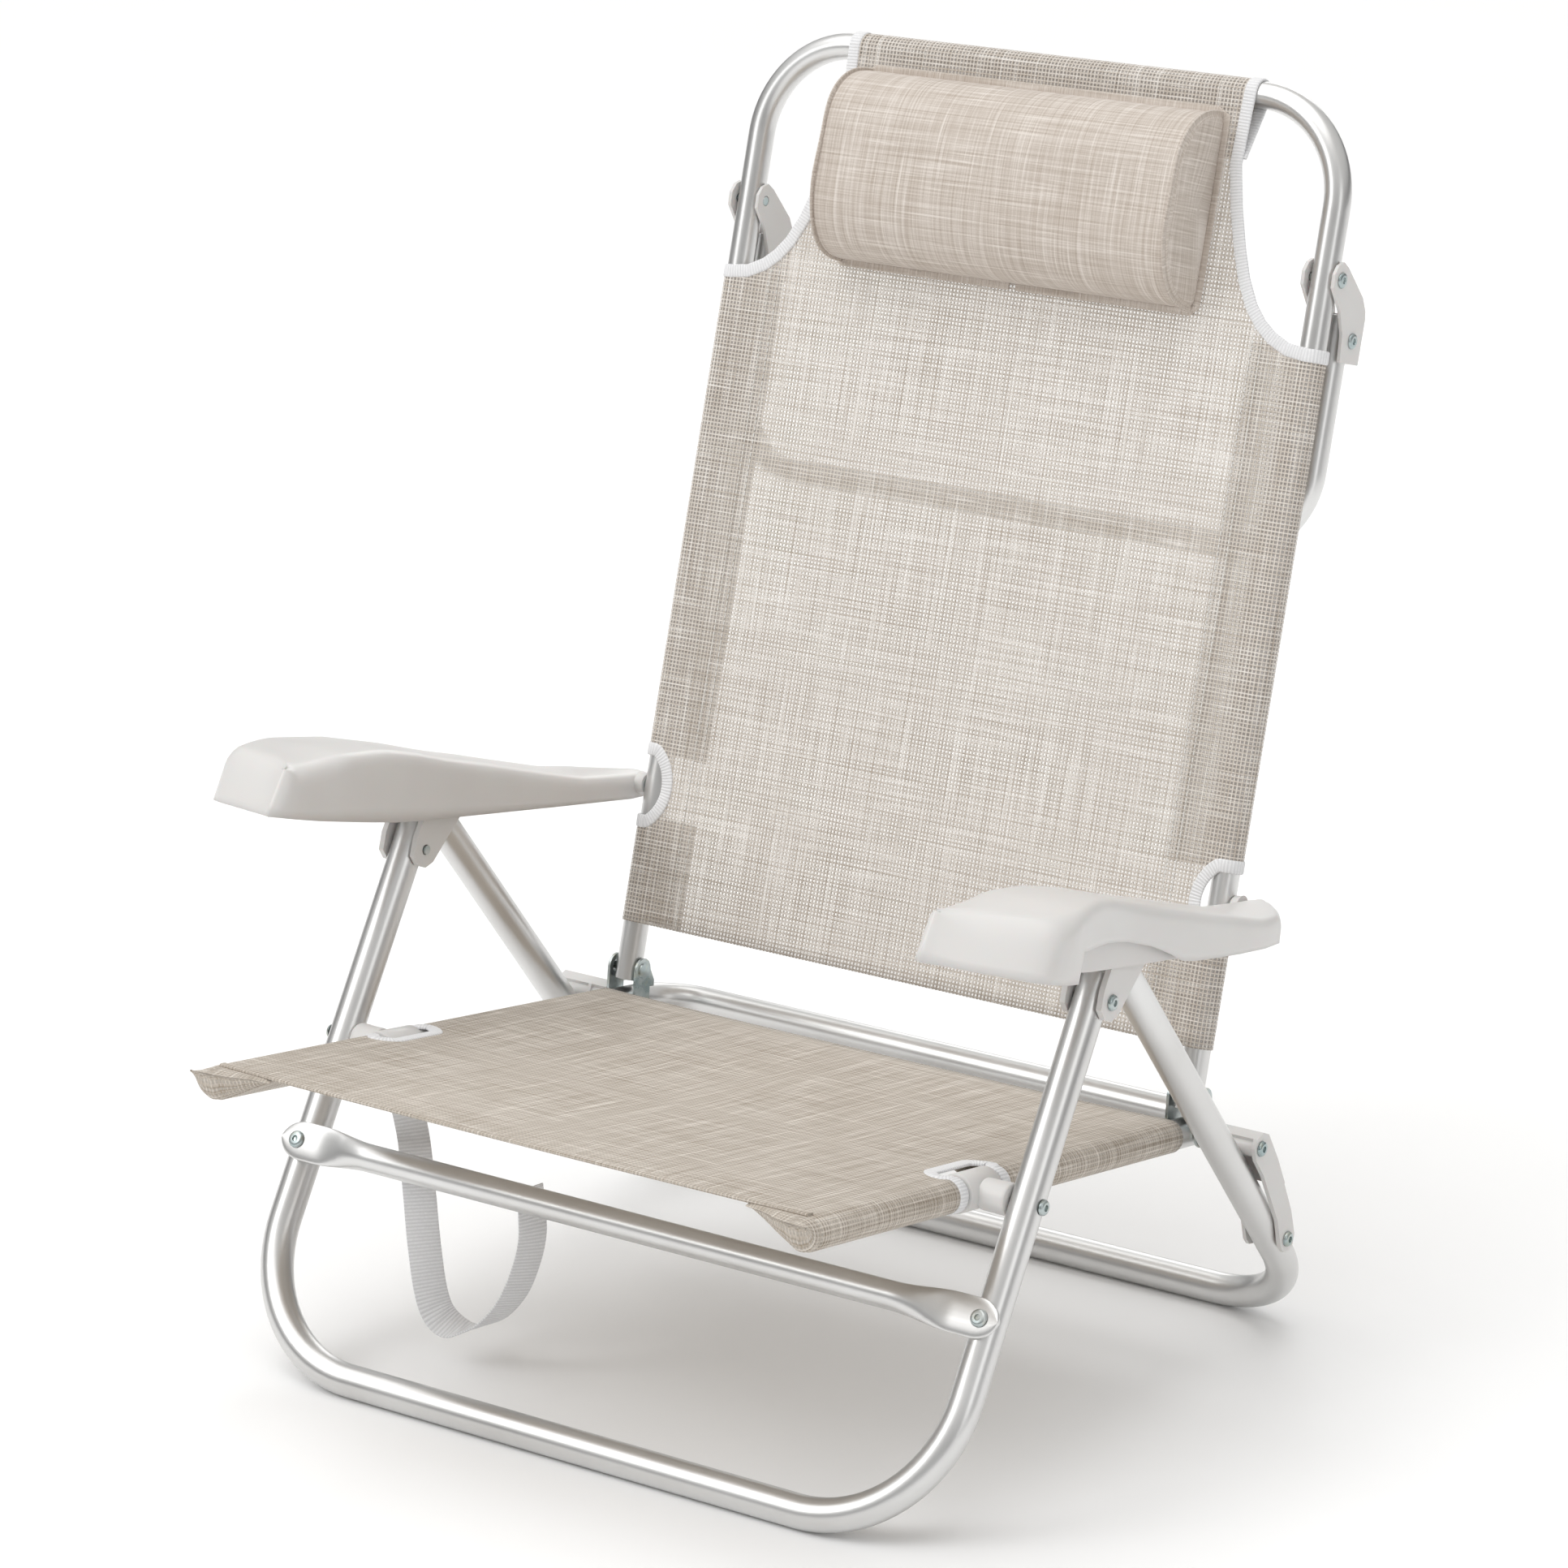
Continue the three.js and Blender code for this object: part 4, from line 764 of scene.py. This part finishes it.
def sling(name, kind, rows, extra_rows=()):
    """Sheet of cloth over two side tubes.

    `rows` are places along the panel. `kind` says where its points lie, its tubes' x and radius, its half
    width at a row and where it has sleeves. `extra_rows` are (length so far, maker of points) beyond.
    """
    place, tube_x, radius, half_width, has_sleeve = kind
    shares = spread(-1, 1, PANEL_COLUMNS)
    panel = []
    for along in rows:
        half = half_width(along)
        panel.append(([place(t * half, along, radius) for t in shares], [t * half for t in shares], along))
    half = half_width(rows[-1])
    for length, maker in extra_rows:
        panel.append(([maker(t * half) for t in shares], [t * half for t in shares], length))
    bm = bmesh.new()
    add_cloth(bm, panel, lambda a, b: True)
    profile = sleeve_profile(tube_x, radius)
    lengths = path_lengths(profile)
    for side in (-1, 1):
        us = [side * (tube_x + length) for length in lengths]
        strip = [([place(side * x, along, n) for x, n in profile], us, along) for along in rows]
        add_cloth(bm, strip, has_sleeve)
    bmesh.ops.remove_doubles(bm, verts=bm.verts, dist=1e-5)
    cloth = from_bmesh(name, bm, 60)
    thicken(cloth, CLOTH, 0)
    return cloth


def declare_sling(kind, rows, flap=0.0, flap_half=0.0):
    """Adds up the area of the flat cut, the panel with its sleeves and a flap at its end; the area is not
    kept.
    """
    _, tube_x, radius, half_width, has_sleeve = kind
    sleeve = path_lengths(sleeve_profile(tube_x, radius))[-1]
    area = 2 * flap_half * flap
    for a, b in zip(rows, rows[1:]):
        half = (half_width(a) + half_width(b)) / 2 + (sleeve if has_sleeve(a, b) else 0)
        area += 2 * half * (b - a)


def bound_edge(name, body, stations):
    """White tape folded over an edge of the cloth."""
    fit(ribbon(name, stations, BINDING_WIDTH, BINDING_THICK), body, BINDING)


def stitches(name, body, runs):
    """Rows of short thread stitches lying on the cloth: each run is (start, end, surface normal)."""
    bm = bmesh.new()
    for start, end, normal in runs:
        direction = end - start
        length = direction.length / MM
        direction.normalize()
        across = direction.cross(normal).normalized()
        pitch = STITCH_LENGTH + STITCH_GAP
        for i in range(int(length / pitch)):
            head = start + direction * i * pitch * MM
            rows = []
            for t, size in STITCH_PROFILE:
                centre = head + direction * t * STITCH_LENGTH * MM
                rows.append([centre + way * size * MM for way in (across, normal, -across, -normal)])
            add_rod(bm, rows)
    fit(from_bmesh(name, bm, 60), body, THREAD)


def fine_rows(start, end, step, notch, half):
    """Places from start to end, closer together inside a notch of that half height."""
    places = {p for p in spread(start, end, int(abs(end - start) / step)) if abs(p - notch) > half + 0.5}
    places |= {notch - half * math.cos(a) for a in spread(0, math.pi, 24)}
    return sorted(places)


def round_tube(point, tube_x, side, along, radius, front):
    """Stations of a tape round a tube, from the sitter's side to behind."""
    profile = sleeve_profile(tube_x, radius)[:SLEEVE_STEPS + 1]
    stations = []
    for x, n in profile:
        outward = Vector((side * (x - tube_x), 0, 0)) + front * n
        stations.append((point(side * x, along, n), outward * MM))
    return stations


# --- seat cloth
def seat_half_width(along):
    reach = min(abs(along) / SEAT_NOTCH_HALF, 1.0)
    return SEAT_X - SEAT_NOTCH_DEPTH * (1 - reach ** 4) ** 0.25


def seat_has_sleeve(a, b):
    far, near = max(abs(a), abs(b)), min(abs(a), abs(b))
    return far > SEAT_NOTCH_HALF + 0.1 or near > SEAT_NOTCH_HALF - 0.1


def seat_cloth_point(x, along, above):
    """The panel's front edge bows forward, its rear edge too, and it dips a little between the tubes."""
    share = min(abs(x) / SEAT_X, 1.0)
    bow = -SEAT_FRONT_BOW * (1 - share ** 2) * smoothstep((SEAT_CLOTH_FRONT + 30 - along) / 30)
    bow -= SEAT_REAR_BOW * (1 - share ** 4) * smoothstep((along - SEAT_CLOTH_REAR + 40) / 40)
    dip = -SEAT_DIP * (1 - share ** 2) * math.sin(math.pi * smoothstep((along - SEAT_CLOTH_FRONT) / 410))
    return seat_point(x, along + bow, above + dip)


def seat_cloth():
    rows = fine_rows(SEAT_CLOTH_FRONT, SEAT_CLOTH_REAR, 9, 0, SEAT_NOTCH_HALF)
    kind = (seat_cloth_point, SEAT_X, SEAT_CLOTH_R, seat_half_width, seat_has_sleeve)
    cloth = sling("seat_cloth", kind, rows)
    fit(cloth, "seat", SEAT_CLOTH, "seat_fabric")
    declare_sling(kind, rows)
    hem = [(seat_cloth_point(x, SEAT_CLOTH_FRONT + 2, SEAT_CLOTH_R + 0.6), SEAT_UP)
           for x in spread(-SEAT_X, SEAT_X, 60)]
    fit(ribbon("seat_front_hem", hem, HEM_ROLL, HEM_ROLL_THICK), "seat", SEAT_CLOTH)
    for word, side in SIDES:
        sleeve_toe(word, side, SEAT_CLOTH_R)
        seat_notch_binding(word, side)


def seat_notch_binding(word, side):
    """Tape round both sleeve ends and along the cloth between them."""
    front_end = round_tube(seat_point, SEAT_X, side, -SEAT_NOTCH_HALF + 3, SEAT_CLOTH_R, SEAT_UP)
    rear_end = round_tube(seat_point, SEAT_X, side, SEAT_NOTCH_HALF - 3, SEAT_CLOTH_R, SEAT_UP)
    between = []
    for a in spread(0.12, math.pi - 0.12, 20):
        along = -(SEAT_NOTCH_HALF + 2) * math.cos(a)
        inset = SEAT_NOTCH_DEPTH * min(math.sin(a) * 1.4, 1.0) + 2
        between.append((seat_cloth_point(side * (SEAT_X - inset), along, SEAT_CLOTH_R), SEAT_UP))
    bound_edge(f"seat_notch_binding_{word}", "seat", list(reversed(front_end)) + between + rear_end)


def sleeve_toe(word, side, radius):
    """Front end of a seat sleeve, flattened up to the panel's level and sewn shut over the tube's cap."""
    profile = sleeve_profile(SEAT_X, radius)
    ring = profile + [(x, radius) for x in spread(profile[-1][0], SEAT_X, 9)[1:-1]]
    lengths = path_lengths(ring)
    bm = bmesh.new()
    rows = []
    for forward, flat in TOE_FLATTENING:
        row = []
        for i, (x, n) in enumerate(ring):
            pleat = 0.8 * flat * math.sin(i * 1.7) * smoothstep((radius - n) / radius)
            squeezed = radius + (n - radius) * (1 - flat) - 2.2 * flat + pleat
            inner = smoothstep((SEAT_X - x) / HEM)
            row.append(seat_point(side * x, SEAT_CLOTH_FRONT - forward * (1 - 0.75 * inner), squeezed))
        rows.append(row)
    verts = add_strip(bm, rows, closed=True, uvs=lambda r, i: (
        (SEAT_X + lengths[i % len(ring)]) * MM, -TOE_FLATTENING[r][0] * MM))
    bm.faces.new(verts[-1])
    fit(from_bmesh(f"seat_sleeve_toe_{word}", bm, 50), "seat", SEAT_CLOTH)


# --- back cloth
SHOULDER_CURVE = ((0, BACK_X), (1.5, 216), (7, 204), (14, 195), (24, 186.5), (40, 178), (58, 171.5),
                  (84, 164), (112, NECK_HALF), (BACK_LENGTH - SHOULDER, NECK_HALF + 2))


def back_half_width(along):
    """Half width of the back's panel: necked in above the shoulders, notched at the arm pivots."""
    if along > SHOULDER:
        return lerp_table(SHOULDER_CURVE, along - SHOULDER)
    off = abs(along - ARM_ALONG)
    if off < ARM_NOTCH_R and ARM_NOTCH_OUT < math.sqrt(ARM_NOTCH_R ** 2 - off ** 2):
        return BACK_X + ARM_NOTCH_OUT - math.sqrt(ARM_NOTCH_R ** 2 - off ** 2)
    return BACK_X


def back_has_sleeve(a, b):
    centre = (a + b) / 2
    return centre < SHOULDER and abs(centre - ARM_ALONG) > ARM_NOTCH_HALF


def back_cloth_point(x, along, height):
    """The panel dips a little between the tubes."""
    share = min(abs(x) / BACK_X, 1.0)
    dip = BACK_DIP * (1 - share ** 2) * math.sin(math.pi * min(along / BACK_LENGTH, 1))
    return back_point(x, along, height - dip)


def back_cloth():
    rows = fine_rows(BACK_CLOTH_FOOT, SHOULDER, 10, ARM_ALONG, ARM_NOTCH_HALF)
    rows += [SHOULDER + d for d in (0.7, *NECK_ROWS)] + [BACK_LENGTH]
    top_profile = sleeve_profile(0, BACK_CLOTH_R)
    lengths = path_lengths(top_profile)
    over_top = []
    for (reach, height), length in list(zip(top_profile, lengths))[1:]:
        maker = lambda x, along=BACK_LENGTH + reach, h=height: back_point(x, along, h)
        over_top.append((BACK_LENGTH + length, maker))
    kind = (back_cloth_point, BACK_X, BACK_CLOTH_R, back_half_width, back_has_sleeve)
    cloth = sling("back_cloth", kind, rows, over_top)
    fit(cloth, "back", BACK_CLOTH, "back_fabric")
    declare_sling(kind, rows, lengths[-1], NECK_HALF + 2)
    for word, side in SIDES:
        neck_binding(word, side, top_profile)
        arm_notch_binding(word, side)
    back_stitches()


def neck_binding(word, side, top_profile):
    """Tape from round the upright at the shoulder, up the neck and over the top tube."""
    stations = round_tube(back_point, BACK_X, side, SHOULDER - BINDING_INSET, BACK_CLOTH_R + 0.2, BACK_FRONT)
    stations.reverse()
    outline = [(back_half_width(SHOULDER + d), SHOULDER + d) for d in NECK_ROWS]
    outline.append((NECK_HALF + 2, BACK_LENGTH))
    for (x0, a0), (x1, a1) in zip(outline, outline[1:]):
        length = math.hypot(x1 - x0, a1 - a0)
        inward = (-(a1 - a0) / length, (x1 - x0) / length)
        x, along = x0 + inward[0] * BINDING_INSET, a0 + inward[1] * BINDING_INSET
        stations.append((back_point(side * x, along, BACK_CLOTH_R + 0.1), BACK_FRONT))
    for reach, height in top_profile:
        normal = Vector((0, *BACK_UP)) * reach + BACK_FRONT * height
        if height <= -BACK_CLOTH_R * 0.9:
            normal = -BACK_FRONT
        point = back_point(side * (NECK_HALF + 2 - BINDING_INSET), BACK_LENGTH + reach, height)
        stations.append((point, normal.normalized()))
    bound_edge(f"neck_binding_{word}", "back", stations)


def arm_notch_binding(word, side):
    """Tape round both sleeve ends at the arm pivot and along the arc between them."""
    edge = ARM_NOTCH_HALF + BINDING_INSET
    reach = ARM_NOTCH_R + BINDING_INSET
    widest = math.asin(ARM_NOTCH_HALF / ARM_NOTCH_R)
    arc = []
    for angle in spread(-widest, widest, 18):
        x = BACK_X + ARM_NOTCH_OUT - reach * math.cos(angle)
        along = ARM_ALONG + reach * math.sin(angle)
        arc.append((back_point(side * x, along, BACK_CLOTH_R + 0.1), BACK_FRONT))
    low_end = round_tube(back_point, BACK_X, side, ARM_ALONG - edge, BACK_CLOTH_R + 0.2, BACK_FRONT)
    high_end = round_tube(back_point, BACK_X, side, ARM_ALONG + edge, BACK_CLOTH_R + 0.2, BACK_FRONT)
    bound_edge(f"arm_notch_binding_{word}", "back", list(reversed(low_end)) + arc + high_end)


def back_stitches():
    """Two seams along each sleeve and two below the top tube."""
    height = BACK_CLOTH_R + CLOTH / 2 + 0.1
    runs = []
    for _, side in SIDES:
        for inset in (3, 10):
            x = side * (BACK_X - HEM + inset)
            low, high = BACK_CLOTH_FOOT + 3, SHOULDER + 18
            runs.append((back_point(x, low, height), back_point(x, high, height), BACK_FRONT))
    for inset in (3, 9):
        along = BACK_LENGTH - HEM + inset
        half = NECK_HALF - 8
        runs.append((back_point(-half, along, height), back_point(half, along, height), BACK_FRONT))
    stitches("back_hem_stitches", "back", runs)


# --- pillow
PILLOW_BASE = BACK_CLOTH_R + 1.2
PILLOW_CENTRE, PILLOW_TALL = (PILLOW_LOW + PILLOW_HIGH) / 2, (PILLOW_HIGH - PILLOW_LOW) / 2
GUSSET_SHARES = (1.0, 0.93, 0.82, 0.66, 0.45, 0.22, 0.02)
PILLOW_XS = [-1, -0.995, -0.985, -0.965, -0.93] + spread(-0.88, 0.88, 40) + [0.93, 0.965, 0.985, 0.995, 1]


def pillow_outline():
    """(along, height) round the bolster's end: over the front from its low edge, then flat along the back."""
    front = []
    for a in spread(0, math.pi, 36):
        c, s = math.cos(a), math.sin(a)
        front.append((-PILLOW_TALL * math.copysign(abs(c) ** 0.72, c), PILLOW_DEPTH * abs(s) ** 0.8))
    return front, [(PILLOW_TALL * (1 - t * 2), 0.0) for t in spread(0, 1, 14)[1:-1]]


def pillow_skin(t, along, height):
    """Point of the stuffed skin: t runs from -1 to 1 across the pillow."""
    edge = min(1.0, (1 - abs(t)) / 0.035)
    full = 0.95 + 0.05 * math.sqrt(max(0.0, 1 - (1 - edge) ** 2))
    share = height / PILLOW_DEPTH
    pucker = 0.9 * math.sin(t * 61 + along * 0.11) * share * abs(t) ** 6
    wave = 1.1 * math.sin(along * 0.055 + t * 5.3) * math.sin(t * 9.1 + 0.6) * share
    rise = height * full * (1.0 - 0.035 * abs(t) ** 3)
    return back_point(t * PILLOW_HALF, PILLOW_CENTRE + along * full, PILLOW_BASE + rise + pucker + wave)


def add_gusset(bm, side, edge_row, section):
    """Domed end of the bolster, from its edge in to the middle."""
    hub = back_point(side * PILLOW_HALF, PILLOW_CENTRE, PILLOW_BASE + PILLOW_DEPTH * 0.45)
    rings = []
    for share in GUSSET_SHARES:
        bulge = Vector((side * PILLOW_DOME * (1 - share ** 2) * MM, 0, 0))
        rings.append([hub + (point - hub) * share + bulge for point in edge_row])

    def flat(r, i):
        along, height = section[i % len(section)]
        return height * GUSSET_SHARES[r] * MM, along * GUSSET_SHARES[r] * MM

    verts = add_strip(bm, rings, closed=True, uvs=flat)
    bm.faces.new(verts[-1])


def pillow():
    """Half-round stuffed bolster with domed end gussets, seam ridges and a flat sewn flange."""
    front_part, back_part = pillow_outline()
    section = front_part + back_part
    girth = path_lengths(section + section[:1])
    bm = bmesh.new()
    rows = [[pillow_skin(t, along, height) for along, height in section] for t in PILLOW_XS]
    add_strip(bm, rows, closed=True, uvs=lambda r, i: (PILLOW_XS[r] * PILLOW_HALF * MM, girth[i] * MM))
    add_gusset(bm, -1, rows[0], section)
    add_gusset(bm, 1, rows[-1], section)
    bmesh.ops.remove_doubles(bm, verts=bm.verts, dist=1e-5)
    bolster = from_bmesh("headrest_bolster", bm, 80)
    rounding = bolster.modifiers.new("soften", "SUBSURF")
    rounding.levels = rounding.render_levels = 1
    fit(bolster, "back", PILLOW_CLOTH, "headrest_pillow")
    for word, side in SIDES:
        ridge = [(pillow_skin(side * 0.985, along, height + 0.6), Vector((side, 0, 0)))
                 for along, height in front_part]
        seam = ribbon(f"pillow_seam_{word}", ridge, PILLOW_RIDGE, PILLOW_RIDGE_THICK)
        fit(seam, "back", PILLOW_CLOTH)
    pillow_flange()


def pillow_flange():
    """Flat border where the bolster is sewn to the back, running round its base."""
    half, low, high = PILLOW_HALF, PILLOW_LOW, PILLOW_HIGH
    corners = [(0, low), (half, low), (half, high), (-half, high), (-half, low), (0, low)]
    stations = []
    for (x0, a0), (x1, a1) in zip(corners, corners[1:]):
        for t in (0.02, 0.1, 0.25, 0.5, 0.75, 0.9, 0.98):
            point = back_point(x0 + (x1 - x0) * t, a0 + (a1 - a0) * t, PILLOW_BASE - 0.6)
            stations.append((point, BACK_FRONT))
    flange = ribbon("pillow_flange", stations, PILLOW_FLANGE, PILLOW_FLANGE_THICK)
    fit(flange, "back", PILLOW_CLOTH)


# --- strap
STRAP_WIDTH, STRAP_THICK = 22, 1.3
STRAP_LINE = ((-198, -160, 190), (-196, -160, 172), (-190, -161, 150), (-184, -164, 118), (-178, -167, 80),
              (-172, -168, 48), (-164, -168, 33), (-150, -168, 28), (-134, -168, 33), (-118, -168, 44),
              (-104, -167, 62), (-95, -165, 84), (-91, -163, 104), (-92, -162, 122), (-93, -162, 138))


def smooth_line(points, steps):
    """Points of a smooth curve through all the given points."""
    curve = []
    for i in range(len(points) - 1):
        a, b, c, d = points[max(i - 1, 0)], points[i], points[i + 1], points[min(i + 2, len(points) - 1)]
        for t in spread(0, 1, steps)[:-1]:
            slope, bend, twist = c - a, 2 * a - 5 * b + 4 * c - d, 3 * b - a - 3 * c + d
            curve.append(0.5 * (2 * b + slope * t + bend * t * t + twist * t ** 3))
    return curve + [points[-1]]


def strap():
    """Flat webbing that hangs in a loop behind the cross bar and turns over on itself at the bottom."""
    line = smooth_line([mm(x, y + FRAME_SHIFT, z) for x, y, z in STRAP_LINE], 5)
    last = len(line) - 1
    stations = []
    for i, point in enumerate(line):
        turn = math.radians(20 + 60 * i / last)
        across = Vector((math.cos(turn), math.sin(turn), 0.2))
        tangent = line[min(i + 1, last)] - line[max(i - 1, 0)]
        stations.append((point, tangent.cross(across).normalized()))
    band = ribbon("carry_strap_webbing", stations, STRAP_WIDTH, STRAP_THICK)
    fit(band, "front_legs", WEBBING, "carry_strap")


# --- camera, light and floor
CAMERA_PLACE, CAMERA_AZIMUTH, CAMERA_ELEVATION, CAMERA_LENS = (2069.92, -2930.6, 1476.97), 35.32, 16.9, 133.0
FLOOR_HALF = 14
AREA_LIGHTS = (
    ("key", (-1.8, -2.8, 2.4), (0, 0, 0.35), (1.5, 1.5), 24),
    ("fill", (2.9, -1.4, 1.3), (0, 0, 0.35), (0.9, 1.8), 7),
    ("back", (-1.2, 3.0, 1.6), (0, 0, 0.4), (1.6, 1.6), 14),
)


def camera():
    data = bpy.data.cameras.new("camera")
    data.lens = CAMERA_LENS
    data.sensor_width = 36
    view = new_object("camera", data)
    x, y, z = CAMERA_PLACE
    view.location = mm(x, y + FRAME_SHIFT, z)
    azimuth, elevation = math.radians(CAMERA_AZIMUTH), math.radians(CAMERA_ELEVATION)
    flat = math.cos(elevation)
    forward = Vector((-math.sin(azimuth) * flat, math.cos(azimuth) * flat, -math.sin(elevation)))
    view.rotation_mode = "QUATERNION"
    view.rotation_quaternion = forward.to_track_quat("-Z", "Y")
    bpy.context.scene.camera = view


def area_light(name, place, target, size, power):
    data = bpy.data.lights.new(name, "AREA")
    data.shape = "RECTANGLE"
    data.size, data.size_y = size
    data.energy = power
    lamp = new_object(name, data)
    lamp.location = place
    lamp.rotation_mode = "QUATERNION"
    lamp.rotation_quaternion = (Vector(target) - Vector(place)).to_track_quat("-Z", "Y")


def overhead_light():
    """Very soft light from above, which keeps a faint shadow under the chair."""
    data = bpy.data.lights.new("overhead", "SUN")
    data.energy = 1.35
    data.angle = math.radians(70)
    new_object("overhead", data).rotation_euler = (math.radians(12), math.radians(-14), 0)


def studio_world():
    """Light that grows from a grey horizon to a white ceiling, so that the metal has something to mirror."""
    world = bpy.data.worlds.new("studio")
    world.use_nodes = True
    tree = world.node_tree
    background = tree.nodes["Background"]
    direction = tree.nodes.new("ShaderNodeTexCoord").outputs["Generated"]
    height = tree.nodes.new("ShaderNodeSeparateXYZ")
    tree.links.new(direction, height.inputs[0])
    bands = tree.nodes.new("ShaderNodeValToRGB")
    tree.links.new(height.outputs["Z"], bands.inputs["Fac"])
    tree.links.new(bands.outputs["Color"], background.inputs["Color"])
    stops = bands.color_ramp.elements
    stops[0].position, stops[0].color = 0.02, (0.26, 0.26, 0.27, 1)
    stops[1].position, stops[1].color = 0.9, (1.25, 1.24, 1.22, 1)
    for place, value in ((0.16, 0.32), (0.3, 0.95), (0.5, 1.1)):
        stop = stops.new(place)
        stop.color = (value, value, value * 0.99, 1)
    background.inputs["Strength"].default_value = 0.6
    bpy.context.scene.world = world
    bpy.context.scene.view_settings.view_transform = "Standard"


def pale_floor():
    mesh = bpy.data.meshes.new("floor")
    corners = [(x * FLOOR_HALF, y * FLOOR_HALF, 0) for x, y in ((-1, -1), (1, -1), (1, 1), (-1, 1))]
    mesh.from_pydata(corners, [], [(0, 1, 2, 3)])
    floor = new_object("floor", mesh)
    s = Shader("pale_floor", Roughness=0.9, Specular_IOR_Level=0.1)
    mottle = s.noise("Object", (3, 3, 3), 2.0)
    s.set("Base Color", s.mix(mottle, (0.93, 0.93, 0.93, 1), (0.95, 0.95, 0.95, 1)))
    floor.data.materials.append(s.material)


camera()
studio_world()
for light in AREA_LIGHTS:
    area_light(*light)
overhead_light()
pale_floor()
metal_tubes()
cross_bar()
fasteners()
fittings()
for side_word, side_sign in SIDES:
    armrest(side_word, side_sign)
seat_cloth()
back_cloth()
pillow()
strap()
